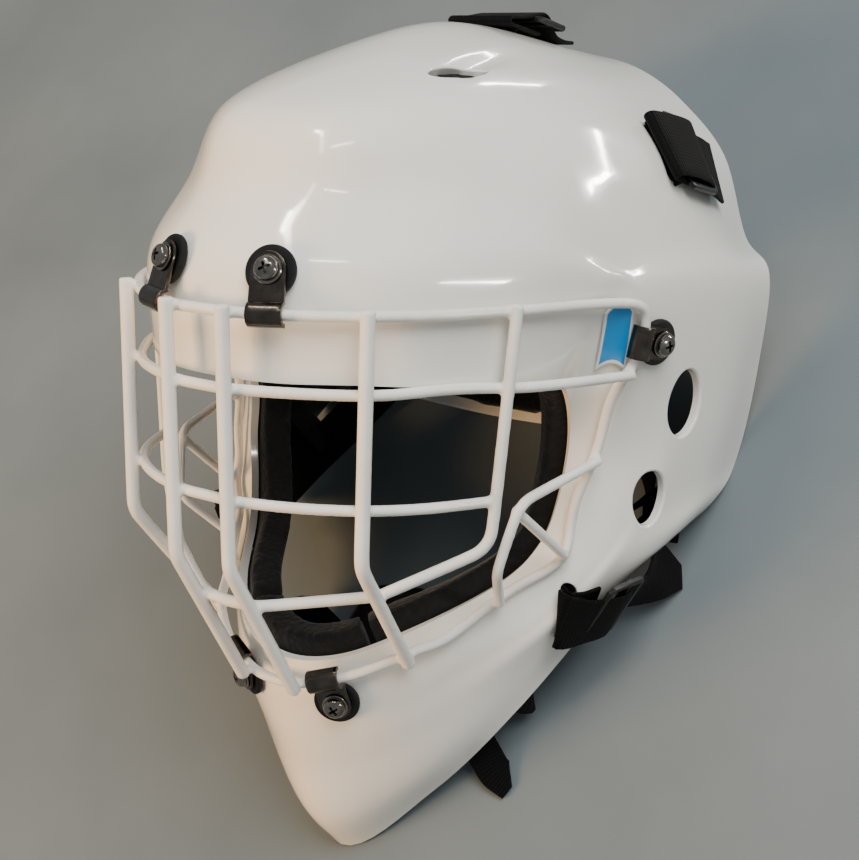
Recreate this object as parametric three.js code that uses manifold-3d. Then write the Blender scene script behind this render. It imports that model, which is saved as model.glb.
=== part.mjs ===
// Ice hockey goalkeeper's mask: a moulded shell, a welded wire cage held on by six
// J-clips, a foam liner, a backplate, and the webbing that holds it on the head.
// Everything is laid out as worn (+X wearer's left, +Y to the back of the head, +Z up,
// with the level of the cage's top bar at z = 0). The finished group is then tilted back,
// so that the mask rests on its chin and on the two rear corners of its jaw.
import * as THREE from "three";
import { mergeVertices } from "three/addons/utils/BufferGeometryUtils.js";
import Module from "manifold-3d";

const wasm = await Module();
wasm.setup();

// ---- driving dimensions, millimetres and degrees ----
const restTilt = 50.4;
const shellWall = 3.5;
const barRadius = 2.75; // the four main upright bars
const wireRadius = 2.1; // rim, cross wires and outer uprights
const padGap = 0.6;
const washerRadius = 9.3;
const washerThickness = 2.4;
const clipWidth = 13;
const clipThickness = 1.5;
const webThickness = 1.6;
const crownWebWidth = 32;
const sideWebWidth = 34;
const jawWebWidth = 25;
const chinWebWidth = 18;

// Half of the shell from the crown's centre line round the wearer's left to the chin.
// Each row is one meridian, from the edge of the face port out to the rear edge.
const meridians = [
  { at: "crown centre", port: [0, 11, -29], ledge: [0, 11, 8], brow: [0, 29, 34], bend: [0, 52, 66], crown: [0, 144, 98], rim: [0, 247, 90] },
  { at: "crown ridge", port: [25, 15, -29], ledge: [26, 16, 8], brow: [26, 34, 34], bend: [26, 56, 66], crown: [24, 144, 93], rim: [27, 246, 88] },
  { at: "vent channel", port: [47, 29, -29], ledge: [50, 30, 8], brow: [48, 50, 34], bend: [48, 72, 65], crown: [47, 142, 83], rim: [48, 246, 82] },
  { at: "panel ridge", port: [66, 47, -30], ledge: [70, 51, 7], brow: [68, 70, 33], bend: [66, 92, 59], crown: [67, 146, 72], rim: [68, 247, 69] },
  { at: "side panel", port: [79, 69, -31], ledge: [86, 79, 6], brow: [87, 95, 25], bend: [86, 116, 43], crown: [92, 165, 48], rim: [90, 247, 46] },
  { at: "flare top", port: [87, 99, -34], ledge: [97, 107, 4], brow: [100, 124, 9], bend: [103, 146, 13], crown: [108, 194, 14], rim: [103, 247, 11] },
  { at: "flare edge", port: [86, 116, -42], ledge: [102, 124, -6], brow: [107, 136, -6], bend: [111, 156, -6], crown: [117, 200, -6], rim: [118, 240, -4] },
  { at: "ear", port: [83, 125, -63], ledge: [98, 138, -60], brow: [106, 150, -60], bend: [112, 166, -58], crown: [117, 202, -52], rim: [117, 239, -44] },
  { at: "below ear", port: [81, 122, -86], ledge: [95, 132, -90], brow: [103, 142, -93], bend: [108, 155, -92], crown: [114, 190, -88], rim: [115, 228, -84] },
  { at: "jaw corner", port: [76, 117, -105], ledge: [89, 123, -111], brow: [96, 129, -113], bend: [102, 138, -112], crown: [111, 170, -107], rim: [113, 206, -102] },
  { at: "jaw", port: [66, 104, -120], ledge: [75, 107, -131], brow: [81, 111, -135], bend: [87, 118, -136], crown: [94, 139, -132], rim: [97, 166, -126] },
  { at: "jaw front", port: [46, 74, -135], ledge: [54, 81, -148], brow: [58, 88, -157], bend: [62, 95, -164], crown: [67, 106, -171], rim: [71, 119, -177] },
  { at: "chin side", port: [24, 55, -146], ledge: [29, 59, -163], brow: [33, 66, -176], bend: [35, 74, -190], crown: [37, 86, -210], rim: [38, 103, -221] },
  { at: "chin centre", port: [0, 49, -150], ledge: [0, 51, -167], brow: [0, 54, -183], bend: [0, 61, -204], crown: [0, 71, -232], rim: [0, 88, -253] },
];
const loops = ["port", "ledge", "brow", "bend", "crown", "rim"];

// ---- materials ----
const finish = (color, roughness, metalness = 0) => new THREE.MeshStandardMaterial({ color, roughness, metalness });
const shellWhite = finish("#ebe7df", 0.18);
const cageWhite = finish("#efece6", 0.3);
const blackRubber = finish("#161616", 0.8);
const clipSteel = finish("#77726b", 0.28, 1);
const screwSteel = finish("#a7a39c", 0.25, 1);
const labelBlue = finish("#1f8fd0", 0.45);
const blackWeb = finish("#101012", 0.9);
const buckleBlack = finish("#18181a", 0.5);
const foamBlack = finish("#0d0d0e", 0.95);
const plateWhite = finish("#e4e2dc", 0.4);

// ---- solids and meshes ----
function solidOf(geometry) {
  const plain = geometry.clone();
  plain.deleteAttribute("normal");
  plain.deleteAttribute("uv");
  const merged = mergeVertices(plain, 1e-3);
  return new wasm.Manifold(
    new wasm.Mesh({
      numProp: 3,
      vertProperties: new Float32Array(merged.attributes.position.array),
      triVerts: new Uint32Array(merged.index.array),
    }),
  );
}

function geometryOf(solid) {
  const mesh = solid.getMesh();
  const geometry = new THREE.BufferGeometry();
  geometry.setAttribute("position", new THREE.BufferAttribute(new Float32Array(mesh.vertProperties), 3));
  geometry.setIndex(new THREE.BufferAttribute(new Uint32Array(mesh.triVerts), 1));
  geometry.computeVertexNormals();
  return geometry;
}

// A closed skin through rings of points that all have the same count, capped at both ends.
function skin(rings) {
  const count = rings[0].length;
  const points = rings.flat();
  const faces = [];
  for (let r = 0; r < rings.length - 1; r++)
    for (let k = 0; k < count; k++) {
      const next = (k + 1) % count;
      const [a, b, c, d] = [r * count + k, r * count + next, (r + 1) * count + next, (r + 1) * count + k];
      faces.push(a, b, c, a, c, d);
    }
  const last = (rings.length - 1) * count;
  for (let k = 1; k < count - 1; k++) {
    faces.push(0, k + 1, k);
    faces.push(last, last + k, last + k + 1);
  }
  const geometry = new THREE.BufferGeometry().setFromPoints(points);
  geometry.setIndex(faces);
  return outward(geometry);
}

// A profile of 2-D points carried along a path. up(i) gives the direction of the profile's
// y axis; without it the profile is carried without twist, which suits a round wire.
function sweep(path, profile, up, endScale = []) {
  const rings = [];
  let carried = null;
  path.forEach((p, i) => {
    const ahead = path[Math.min(i + 1, path.length - 1)];
    const behind = path[Math.max(i - 1, 0)];
    const along = ahead.clone().sub(behind).normalize();
    let high;
    if (up) high = up(i).clone();
    else if (carried) high = carried.clone();
    else high = Math.abs(along.z) < 0.9 ? new THREE.Vector3(0, 0, 1) : new THREE.Vector3(0, 1, 0);
    high.addScaledVector(along, -high.dot(along)).normalize();
    carried = high;
    const side = high.clone().cross(along);
    const grow = endScale[i] ?? 1;
    rings.push(profile.map(([x, y]) => p.clone().addScaledVector(side, x * grow).addScaledVector(high, y * grow)));
  });
  return skin(rings);
}

const circle = (radius, sides) =>
  Array.from({ length: sides }, (_, k) => {
    const angle = (2 * Math.PI * (k + 0.5)) / sides;
    return [radius * Math.cos(angle), radius * Math.sin(angle)];
  });
const rectangle = (width, height) => [
  [width / 2, -height / 2],
  [width / 2, height / 2],
  [-width / 2, height / 2],
  [-width / 2, -height / 2],
];
const vector = ([x, y, z]) => new THREE.Vector3(x, y, z);
const mirrored = ([x, y, z]) => [-x, y, z];

// A smooth path through every point, with the same number of steps in each span.
function smoothPath(points, steps) {
  const curve = new THREE.CatmullRomCurve3(points.map(vector), false, "centripetal");
  return curve.getPoints((points.length - 1) * steps);
}

// Straight runs joined by bends that start and end a set distance from each corner.
function bentPath(points, bend, steps = 3) {
  const corners = points.map(vector);
  const path = [corners[0]];
  for (let i = 1; i < corners.length - 1; i++) {
    const back = corners[i - 1].clone().sub(corners[i]);
    const on = corners[i + 1].clone().sub(corners[i]);
    const reach = Math.min(bend, back.length() / 2, on.length() / 2);
    const curve = new THREE.QuadraticBezierCurve3(
      corners[i].clone().addScaledVector(back.normalize(), reach),
      corners[i],
      corners[i].clone().addScaledVector(on.normalize(), reach),
    );
    path.push(...curve.getPoints(steps));
  }
  path.push(corners.at(-1));
  return path;
}

// A round wire. Its ends are chamfered like a tumbled cut.
function wire(path, radius, sides = 6) {
  const full = [...path];
  const first = full[0].clone().sub(full[1]).setLength(radius * 0.5);
  const last = full.at(-1).clone().sub(full.at(-2)).setLength(radius * 0.5);
  full.unshift(full[0].clone().add(first));
  full.push(full.at(-1).clone().add(last));
  const scale = full.map((_, i) => (i === 0 || i === full.length - 1 ? 0.6 : 1));
  return sweep(full, circle(radius, sides), null, scale);
}

// ---- the shell's form ----
const ringRows = [...meridians, ...meridians.slice(1, -1).reverse().map((row) => {
  const flipped = {};
  for (const name of loops) flipped[name] = mirrored(row[name]);
  return flipped;
})];
const ringCount = ringRows.length;

function spline(values, t) {
  const i = Math.min(Math.floor(t), values.length - 2);
  const u = t - i;
  const p1 = values[i];
  const p2 = values[i + 1];
  const p0 = i > 0 ? values[i - 1] : p1.clone().multiplyScalar(2).sub(p2);
  const p3 = i < values.length - 2 ? values[i + 2] : p2.clone().multiplyScalar(2).sub(p1);
  const part = (axis) =>
    0.5 *
    (2 * p1[axis] +
      (p2[axis] - p0[axis]) * u +
      (2 * p0[axis] - 5 * p1[axis] + 4 * p2[axis] - p3[axis]) * u * u +
      (3 * p1[axis] - p0[axis] - 3 * p2[axis] + p3[axis]) * u * u * u);
  return new THREE.Vector3(part("x"), part("y"), part("z"));
}

// The outer surface: round is counted in meridians from the crown, out in loops from the port.
function surface(round, out) {
  const base = Math.floor(round);
  const across = loops.map((name) => {
    const near = [-1, 0, 1, 2].map((k) => vector(ringRows[(((base + k) % ringCount) + ringCount) % ringCount][name]));
    return spline(near, 1 + round - base);
  });
  return spline(across, out);
}

function normal(round, out) {
  const step = 0.02;
  const low = Math.max(out - step, 0);
  const high = Math.min(out + step, loops.length - 1);
  const a = surface(round + step, out).sub(surface(round - step, out));
  const b = surface(round, high).sub(surface(round, low));
  return a.cross(b).normalize();
}

// A point at a height above the outer surface; below zero it is inside the mask.
const above = (round, out, height) => surface(round, out).addScaledVector(normal(round, out), height);

const spread = (from, to, count) => Array.from({ length: count }, (_, k) => from + ((to - from) * k) / (count - 1));

// Joins rings that close on themselves, such as the shell's sections, into one solid ring.
function closedRing(rings) {
  const count = rings[0].length;
  const faces = [];
  for (let r = 0; r < rings.length; r++)
    for (let k = 0; k < count; k++) {
      const next = (k + 1) % count;
      const row = r * count;
      const after = ((r + 1) % rings.length) * count;
      faces.push(row + k, row + next, after + next, row + k, after + next, after + k);
    }
  const geometry = new THREE.BufferGeometry().setFromPoints(rings.flat());
  geometry.setIndex(faces);
  return solidOf(outward(geometry));
}

// The liner's corners lie on the shell's own facets: round in halves, out in spans.
const shellSpans = 13;
const span = (loops.length - 1) / shellSpans;

function shellBlank() {
  const outs = spread(0, loops.length - 1, shellSpans + 1);
  const rings = spread(0, ringCount, ringCount * 2 + 1).slice(0, -1).map((round) => [
    ...outs.map((out) => above(round, out, 0)),
    ...[...outs].reverse().map((out) => above(round, out, -shellWall)),
  ]);
  return closedRing(rings);
}

// A pad or plate that follows the shell. Its corners are [round, out] pairs in order round
// its edge, and low and high are its two heights. Its edges are thinned by edgeDrop.
function patch(corners, across, along, low, high, edgeDrop = 0) {
  const place = (s, t, height) => {
    const mix = (k) =>
      (corners[0][k] * (1 - s) + corners[1][k] * s) * (1 - t) + (corners[3][k] * (1 - s) + corners[2][k] * s) * t;
    return above(mix(0), mix(1), height);
  };
  const rings = spread(0, 1, along).map((t) => {
    const row = spread(0, 1, across);
    const edge = (s) => (s === 0 || s === 1 || t === 0 || t === 1 ? edgeDrop : 0);
    return [
      ...row.map((s) => place(s, t, high)),
      ...[...row].reverse().map((s) => place(s, t, low + edge(s))),
    ];
  });
  return skinWide(rings, across);
}

// A closed skin through flat rings: each end is closed by a strip of quads, not a fan.
function skinWide(rings, across) {
  const count = rings[0].length;
  const faces = [];
  for (let r = 0; r < rings.length - 1; r++)
    for (let k = 0; k < count; k++) {
      const next = (k + 1) % count;
      const [a, b, c, d] = [r * count + k, r * count + next, (r + 1) * count + next, (r + 1) * count + k];
      faces.push(a, b, c, a, c, d);
    }
  const last = (rings.length - 1) * count;
  for (let k = 0; k < across - 1; k++) {
    const [a, b, c, d] = [k, k + 1, count - 2 - k, count - 1 - k];
    faces.push(a, c, b, a, d, c);
    faces.push(last + a, last + b, last + c, last + a, last + c, last + d);
  }
  const geometry = new THREE.BufferGeometry().setFromPoints(rings.flat());
  geometry.setIndex(faces);
  return outward(geometry);
}

// Turns a closed skin's faces outwards.
function outward(geometry) {
  const solid = solidOf(geometry);
  if (solid.volume() > 0) return geometry;
  const index = geometry.index.array;
  for (let i = 0; i < index.length; i += 3) [index[i + 1], index[i + 2]] = [index[i + 2], index[i + 1]];
  return geometry;
}

// A straight oval cutter through the shell at one place. turn is its roll in degrees.
function ovalCutter(round, out, width, height, turn = 0, depth = 24) {
  const outline = new THREE.Shape().absellipse(0, 0, width / 2, height / 2, 0, 2 * Math.PI, false, 0);
  const body = new THREE.ExtrudeGeometry(outline, { depth, bevelEnabled: false, curveSegments: 8 });
  body.translate(0, 0, -depth / 2);
  return placeOn(body, round, out, turn);
}

function slotCutter(round, out, width, height, turn = 0, depth = 24) {
  return placeOn(new THREE.BoxGeometry(width, height, depth), round, out, turn);
}

// Turns a shape's z axis to the shell's normal and its y axis upwards, then moves it there.
function placeOn(geometry, round, out, turn = 0, height = 0) {
  geometry.applyMatrix4(seat(round, out, turn, height));
  return geometry;
}

function seat(round, out, turn = 0, height = 0) {
  const z = normal(round, out);
  const high = Math.abs(z.z) < 0.93 ? new THREE.Vector3(0, 0, 1) : new THREE.Vector3(0, 1, 0);
  const y = high.addScaledVector(z, -high.dot(z)).normalize();
  const x = y.clone().cross(z);
  const matrix = new THREE.Matrix4().makeBasis(x, y, z);
  matrix.multiply(new THREE.Matrix4().makeRotationZ((turn * Math.PI) / 180));
  return matrix.setPosition(above(round, out, height));
}

const opposite = (round) => ringCount - round;
const sides = [
  { side: "left", sign: 1, at: (round) => round, point: (p) => p },
  { side: "right", sign: -1, at: opposite, point: mirrored },
];

// ---- where things sit on the shell: round is the meridian, out is the loop ----
const earHoles = [
  { round: 6.85, out: 3.1, width: 22, height: 28 },
  { round: 7.85, out: 2.75, width: 18, height: 23 },
];
const vent = { round: 1.7, out: 3.52, width: 26, height: 10, turn: 12 };
const label = { corners: [[6.22, 0.43], [6.5, 1], [6.12, 1.28], [5.75, 0.71]], thickness: 0.9 };

// ---- cage wires on the wearer's left; the right ones are their mirror images ----
const uprights = [
  { points: [[13, 0, -1], [13, 2.5, -97], [13, 39.5, -158]], radius: barRadius, bend: 14 },
  { points: [[57, 24, -1], [56, 23.5, -93], [48.6, 66, -146.5]], radius: barRadius, bend: 14 },
];
const outerUpright = [[0, 16.5, -116], [13, 17.2, -115.5], [50, 42.5, -110.5], [82, 68.5, -92], [88, 70.5, -1]];
const crossWires = {
  brow: [[0, 3.6, -31], [13, 4.4, -31], [34, 13, -31], [54, 27.5, -31.5], [71, 50, -32], [84, 73, -32.5], [96, 101, -33], [107, 129, -33]],
  mouth: [[0, 5, -71.8], [13, 5.8, -72], [34, 14, -72.5], [53.8, 27.2, -73], [69, 45, -73.5], [81, 67.5, -74]],
};
const rimWire = [
  [0, 3.9, -4], [13, 4.6, -4], [34, 13, -4], [54, 27.5, -4], [71, 49, -3.8], [84.6, 72.2, -3.6], [100.5, 109.5, -3.9],
  [107.5, 127, -5.5], [109, 132.5, -11.5], [107.3, 131, -26], [99, 127.5, -43], [93.5, 129, -65], [88.5, 122, -86],
  [86, 121.5, -106], [81, 116.5, -114], [71, 101.5, -122], [58, 80, -137], [51, 69, -140.5], [45, 61.5, -143.5],
  [31, 51, -150.5], [13, 44, -156], [0, 43, -157.5],
];
// The cheek wire drops from the rim to the mouth wire and back out to the rim below it.
const cheekWire = [[95, 128, -69], [86, 82, -77], [81, 75, -104], [71, 96, -125]];
const braceWire = [[84.5, 81, -80], [88.5, 116, -107]];

// ---- J-clips: the screw's place on the shell and the point of the rim wire that is held ----
const clips = [
  { name: "top", round: 0.87, out: 1.05, holds: [25.5, 9, -4] },
  { name: "side", round: 6.33, out: 2.15, holds: [107.9, 131.6, -20.5] },
  { name: "bottom", round: 12.25, out: 0.98, holds: [21.7, 47.1, -153.4] },
];
const screwHole = 2.6;
const screwShank = 2.2;
const seatGap = 0.3;
const clipLevel = seatGap + washerThickness + seatGap; // underside of a clip's tab above the shell

// ---- webbing ----
const crownStrap = { slotOut: 4.42, toBuckle: 25, toTail: 52 };
const upperStrap = { round: 3.95, slotOut: 4.13, toBuckle: 31, toTail: 47, lean: 12 };
const jawStrap = { round: 9.9, slotOut: 3, toBuckle: 17, toTail: 33, under: -13, lift: 3.7 };
const underShell = -8.5; // webbing is flat across, so inside a curved shell it hangs clear

function cut(solid, cutters) {
  return cutters.reduce((rest, cutter) => rest.subtract(solidOf(cutter)), solid);
}

function buildShell() {
  const cutters = [];
  for (const { at, sign } of sides) {
    for (const hole of earHoles) cutters.push(ovalCutter(at(hole.round), hole.out, hole.width, hole.height));
    cutters.push(ovalCutter(at(vent.round), vent.out, vent.width, vent.height, sign * vent.turn));
    for (const clip of clips) cutters.push(shankCutter(at(clip.round), clip.out));
    cutters.push(slotCutter(at(upperStrap.round - 0.13), upperStrap.slotOut, 9.5, sideWebWidth + 6, sign * -upperStrap.lean));
    cutters.push(slotCutter(at(jawStrap.round), jawStrap.slotOut, 10.5, jawWebWidth + 8));
  }
  cutters.push(slotCutter(0, crownStrap.slotOut, crownWebWidth + 3, 8));
  return cut(shellBlank(), cutters);
}

function shankCutter(round, out) {
  const body = new THREE.CylinderGeometry(screwHole, screwHole, 24, 10).rotateX(Math.PI / 2);
  return placeOn(body, round, out);
}

// Lifts any point of a wire's path that would come too near the shell.
const samples = spread(0, ringCount, ringCount * 4 + 1).slice(0, -1).flatMap((round) =>
  spread(0, 2.6, 14).map((out) => [surface(round, out), normal(round, out)]));
function offShell(path, radius) {
  return path.map((point) => {
    const [near, up] = samples.reduce((best, sample) =>
      sample[0].distanceToSquared(point) < best[0].distanceToSquared(point) ? sample : best);
    const height = point.clone().sub(near).dot(up);
    const short = radius + 0.9 - height;
    return short > 0 && short < 12 ? point.clone().addScaledVector(up, short) : point;
  });
}
const cageWire = (path, radius) => wire(offShell(path, radius), radius);

function buildCage() {
  const parts = [];
  for (const { point } of sides) {
    for (const { points, radius, bend } of uprights)
      parts.push(cageWire(bentPath(points.map(point), bend, 4), radius));
    parts.push(cageWire(bentPath(cheekWire.map(point), 12, 4), wireRadius));
    parts.push(cageWire(braceWire.map(point).map(vector), wireRadius));
  }
  const across = (half) => [...half.slice(1).reverse(), ...half.map(mirrored)];
  parts.push(cageWire(bentPath(across(outerUpright), 14, 4), wireRadius + 0.2));
  parts.push(cageWire(smoothPath(across(crossWires.brow), 2), wireRadius));
  parts.push(cageWire(smoothPath(across(crossWires.mouth), 2), wireRadius));
  parts.push(rimLoop());
  return parts.map(solidOf).reduce((whole, part) => whole.add(part));
}

function rimLoop() {
  const points = [...rimWire, ...rimWire.slice(1, -1).reverse().map(mirrored)].map(vector);
  const curve = new THREE.CatmullRomCurve3(points, true, "centripetal");
  const steps = points.length * 2;
  const path = offShell(Array.from({ length: steps }, (_, k) => curve.getPoint(k / steps)), wireRadius);
  const profile = circle(wireRadius, 6);
  let carried = new THREE.Vector3(0, 0, 1);
  const rings = path.map((p, i) => {
    const along = path[(i + 1) % steps].clone().sub(path[(i + steps - 1) % steps]).normalize();
    carried.addScaledVector(along, -carried.dot(along)).normalize();
    const side = carried.clone().cross(along);
    return profile.map(([x, y]) => p.clone().addScaledVector(side, x).addScaledVector(carried, y));
  });
  return ringSkin(rings);
}

// A ring of profiles joined into a loop. The last ring meets the first at the nearest turn.
function ringSkin(rings) {
  const count = rings[0].length;
  let shift = 0;
  for (let k = 1; k < count; k++)
    if (rings.at(-1)[k].distanceTo(rings[0][0]) < rings.at(-1)[shift].distanceTo(rings[0][0])) shift = k;
  const faces = [];
  for (let r = 0; r < rings.length; r++)
    for (let k = 0; k < count; k++) {
      const join = r === rings.length - 1;
      const row = r * count;
      const after = join ? 0 : row + count;
      const turn = join ? count - shift : 0;
      const [a, b] = [row + k, row + ((k + 1) % count)];
      const [d, c] = [after + ((k + turn) % count), after + ((k + 1 + turn) % count)];
      faces.push(a, b, c, a, c, d);
    }
  const geometry = new THREE.BufferGeometry().setFromPoints(rings.flat());
  geometry.setIndex(faces);
  return outward(geometry);
}

// A J-clip: a flat tab under the screw that rises over the rim wire and hooks round it.
function clipFrame(clip, side) {
  const round = side.at(clip.round);
  const seatPoint = surface(round, clip.out);
  const n = normal(round, clip.out);
  const reach = vector(side.point(clip.holds)).sub(seatPoint);
  const wireHeight = reach.dot(n);
  const out = reach.addScaledVector(n, -wireHeight);
  const distance = out.length();
  return { seatPoint, n, along: out.normalize(), distance, wireHeight };
}

function buildClip(clip, side) {
  const { seatPoint, n, along, distance, wireHeight } = clipFrame(clip, side);
  const level = clipLevel + clipThickness / 2;
  const wrap = wireRadius + 0.9 + clipThickness / 2;
  const flat = [[-6.2, level], [distance - wrap - 1.6, level], [distance - wrap, Math.max(level, wireHeight * 0.6)]];
  const hook = spread(170, -25, 9).map((angle) => [
    distance + wrap * Math.cos((angle * Math.PI) / 180),
    wireHeight + wrap * Math.sin((angle * Math.PI) / 180),
  ]);
  const route = [...flat, ...hook.filter(([, height]) => height > 1.2)];
  const path = route.map(([d, h]) => seatPoint.clone().addScaledVector(along, d).addScaledVector(n, h));
  const width = n.clone().cross(along);
  const body = sweep(path, rectangle(clipWidth, clipThickness), (i) => {
    const ahead = path[Math.min(i + 1, path.length - 1)].clone().sub(path[Math.max(i - 1, 0)]).normalize();
    return ahead.cross(width).negate();
  });
  const hole = new THREE.CylinderGeometry(screwHole, screwHole, 20, 10).rotateX(Math.PI / 2);
  return geometryOf(solidOf(body).subtract(solidOf(placeOn(hole, side.at(clip.round), clip.out))));
}

function buildWasher(clip, side) {
  const ring = new THREE.LatheGeometry(
    [[screwHole, 0], [washerRadius - 0.5, 0], [washerRadius, 0.5], [washerRadius, washerThickness - 0.5],
      [washerRadius - 0.5, washerThickness], [screwHole, washerThickness], [screwHole, 0]].map(([x, y]) => new THREE.Vector2(x, y)),
    14,
  ).rotateX(Math.PI / 2);
  return placeOn(outward(geometryMerged(ring)), side.at(clip.round), clip.out, 0, seatGap);
}

function buildScrew(clip, side) {
  const under = clipLevel + clipThickness + seatGap;
  const profile = [[0, -shellWall], [screwShank, -shellWall], [screwShank, under], [5.2, under], [5.2, under + 0.8],
    [4.3, under + 0.8], [4.2, under + 2.2], [3, under + 3.1], [0, under + 3.4]];
  const body = new THREE.LatheGeometry(profile.map(([x, y]) => new THREE.Vector2(x, y)), 10).rotateX(Math.PI / 2);
  return placeOn(outward(geometryMerged(body)), side.at(clip.round), clip.out);
}

function geometryMerged(geometry) {
  const plain = geometry.clone();
  plain.deleteAttribute("normal");
  plain.deleteAttribute("uv");
  return mergeVertices(plain, 1e-3);
}

// ---- webbing and its buckles ----
// Flat webbing through stations. Each is a point and the way the webbing's face looks there.
function webbing(stations, width, steps = 2) {
  const curve = new THREE.CatmullRomCurve3(stations.map(([point]) => point), false, "centripetal");
  const count = (stations.length - 1) * steps;
  const face = (i) => {
    const t = (i / count) * (stations.length - 1);
    const k = Math.min(Math.floor(t), stations.length - 2);
    return stations[k][1].clone().lerp(stations[k + 1][1], t - k).normalize();
  };
  return sweep(curve.getPoints(count), rectangle(width, webThickness), face);
}

const onShell = (round, out, height) => [above(round, out, height), normal(round, out)];
const underIt = (round, out, height) => [above(round, out, height), normal(round, out).negate()];
const free = (point, face) => [vector(point), vector(face).normalize()];

// The out reached from another by going some millimetres over the shell.
function walk(round, out, distance, steps = 10) {
  let reached = out;
  for (let k = 0; k < steps; k++) {
    const slope = surface(round, reached + 0.02).distanceTo(surface(round, reached - 0.02)) / 0.04;
    reached += distance / steps / slope;
  }
  return reached;
}

// Webbing that comes forward under the shell, out through a slot, back over the outside
// and up and over the middle bar of its buckle.
function slotStations(roundAt, { slotOut, toBuckle, toTail, under: depth = underShell, lift = 0 }) {
  const outAt = (ahead) => walk(roundAt(slotOut), slotOut, ahead);
  const place = (ahead, height) => [roundAt(outAt(ahead)), outAt(ahead), height];
  const under = (ahead, height) => underIt(...place(ahead, height));
  const over = (ahead, height) => onShell(...place(ahead, height));
  const forward = above(...place(-3, 0)).sub(above(...place(3, 0))).normalize();
  return [
    under(28, depth),
    under(10, depth),
    under(2, depth + 1.4),
    [above(...place(-1, -2)), forward],
    over(1.4, 2.6),
    over(5, 2),
    ...(toBuckle > 19 ? [over(toBuckle - 14, 1.3)] : []),
    over(toBuckle - 9.8, 1.3 + lift / 3),
    over(toBuckle - 2.8, 6.5 + lift / 2),
    over(toBuckle + 2.8, 6.5 + lift / 2),
    over(toBuckle + 9.8, 1.3 + lift / 3),
    over(toBuckle + 14, 1.6 + lift / 3),
    over(toTail, 2 + lift),
  ];
}
const buckleOut = (roundAt, { slotOut, toBuckle }) => walk(roundAt(slotOut), slotOut, toBuckle);

// A tri-glide: a frame with three bars, in which the webbing goes over the middle one.
function triGlide(webWidth) {
  const frame = new THREE.Shape();
  const [w, h] = [webWidth / 2 + 4.5, 12.6];
  frame.moveTo(-w + 2, -h).lineTo(w - 2, -h).lineTo(w, -h + 2).lineTo(w, h - 2).lineTo(w - 2, h);
  frame.lineTo(-w + 2, h).lineTo(-w, h - 2).lineTo(-w, -h + 2).lineTo(-w + 2, -h);
  for (const y of [-10.4, 1.4]) {
    const slot = new THREE.Path();
    slot.moveTo(-webWidth / 2 - 2, y).lineTo(webWidth / 2 + 2, y);
    slot.lineTo(webWidth / 2 + 2, y + 9).lineTo(-webWidth / 2 - 2, y + 9).lineTo(-webWidth / 2 - 2, y);
    frame.holes.push(slot);
  }
  return new THREE.ExtrudeGeometry(frame, { depth: 1.9, bevelEnabled: false });
}

// ---- backplate: a curved plate behind the head, leaning back ----
const plate = { foot: [0, 220, -84], lean: 27, radius: 110, height: 108, wall: 2.5, pad: 8 };
function plateAt(across, up, height) {
  const lean = (plate.lean * Math.PI) / 180;
  const rise = new THREE.Vector3(0, Math.sin(lean), Math.cos(lean));
  const back = new THREE.Vector3(0, Math.cos(lean), -Math.sin(lean));
  const angle = across / plate.radius;
  const reach = plate.radius + height;
  return vector(plate.foot)
    .addScaledVector(rise, up)
    .addScaledVector(back, reach * Math.cos(angle) - plate.radius)
    .add(new THREE.Vector3(reach * Math.sin(angle), 0, 0));
}
const plateFace = (across) =>
  plateAt(across, 0, 1).sub(plateAt(across, 0, 0)).normalize();
const plateHalf = (t) => 58 - 5 * t - 9 * Math.max(0, 0.12 - Math.min(t, 1 - t)) / 0.12;

function plateSheet(low, high, inset) {
  const rings = [0, 0.05, 0.14, 0.32, 0.5, 0.68, 0.86, 0.95, 1].map((t) => {
    const up = inset + t * (plate.height - 2 * inset);
    const row = spread(-1, 1, 9).map((s) => s * (plateHalf(t) - inset));
    return [...row.map((x) => plateAt(x, up, high)), ...[...row].reverse().map((x) => plateAt(x, up, low))];
  });
  return skinWide(rings, 9);
}

// ---- assembly, as worn ----
const worn = new THREE.Group();
function add(name, geometry, material) {
  const mesh = new THREE.Mesh(geometry, material);
  mesh.name = name;
  worn.add(mesh);
  return mesh;
}

add("shell", geometryOf(buildShell()), shellWhite);
add("cage", geometryOf(buildCage()), cageWhite);

for (const clip of clips)
  for (const side of sides) {
    add(`clip_${clip.name}_${side.side}`, buildClip(clip, side), clipSteel);
    add(`washer_${clip.name}_${side.side}`, buildWasher(clip, side), blackRubber);
    add(`screw_${clip.name}_${side.side}`, buildScrew(clip, side), screwSteel);
  }
add("label_plate", patch(label.corners, 4, 5, 0.8, 0.8 + label.thickness), labelBlue);

// The crown strap runs from the top of the backplate and out through the crown slot.
const onPlate = (across, up, height = 1.8) => [plateAt(across, up, plate.wall + height), plateFace(across).negate()];
const onCrown = () => 0;
add(
  "crown_strap",
  webbing(
    [
      onPlate(0, 86), onPlate(0, 97), onPlate(0, 108, 2.6), onPlate(0, 116, 2.4),
      free([0, 266, 44], [0, -1, -0.2]),
      free([0, 243, 68], [0, -0.7, -0.7]),
      ...slotStations(onCrown, crownStrap),
    ],
    crownWebWidth,
  ),
  blackWeb,
);
add("crown_buckle", placeOn(triGlide(crownWebWidth), 0, buckleOut(onCrown, crownStrap), 0, 3.1), buckleBlack);

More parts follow.
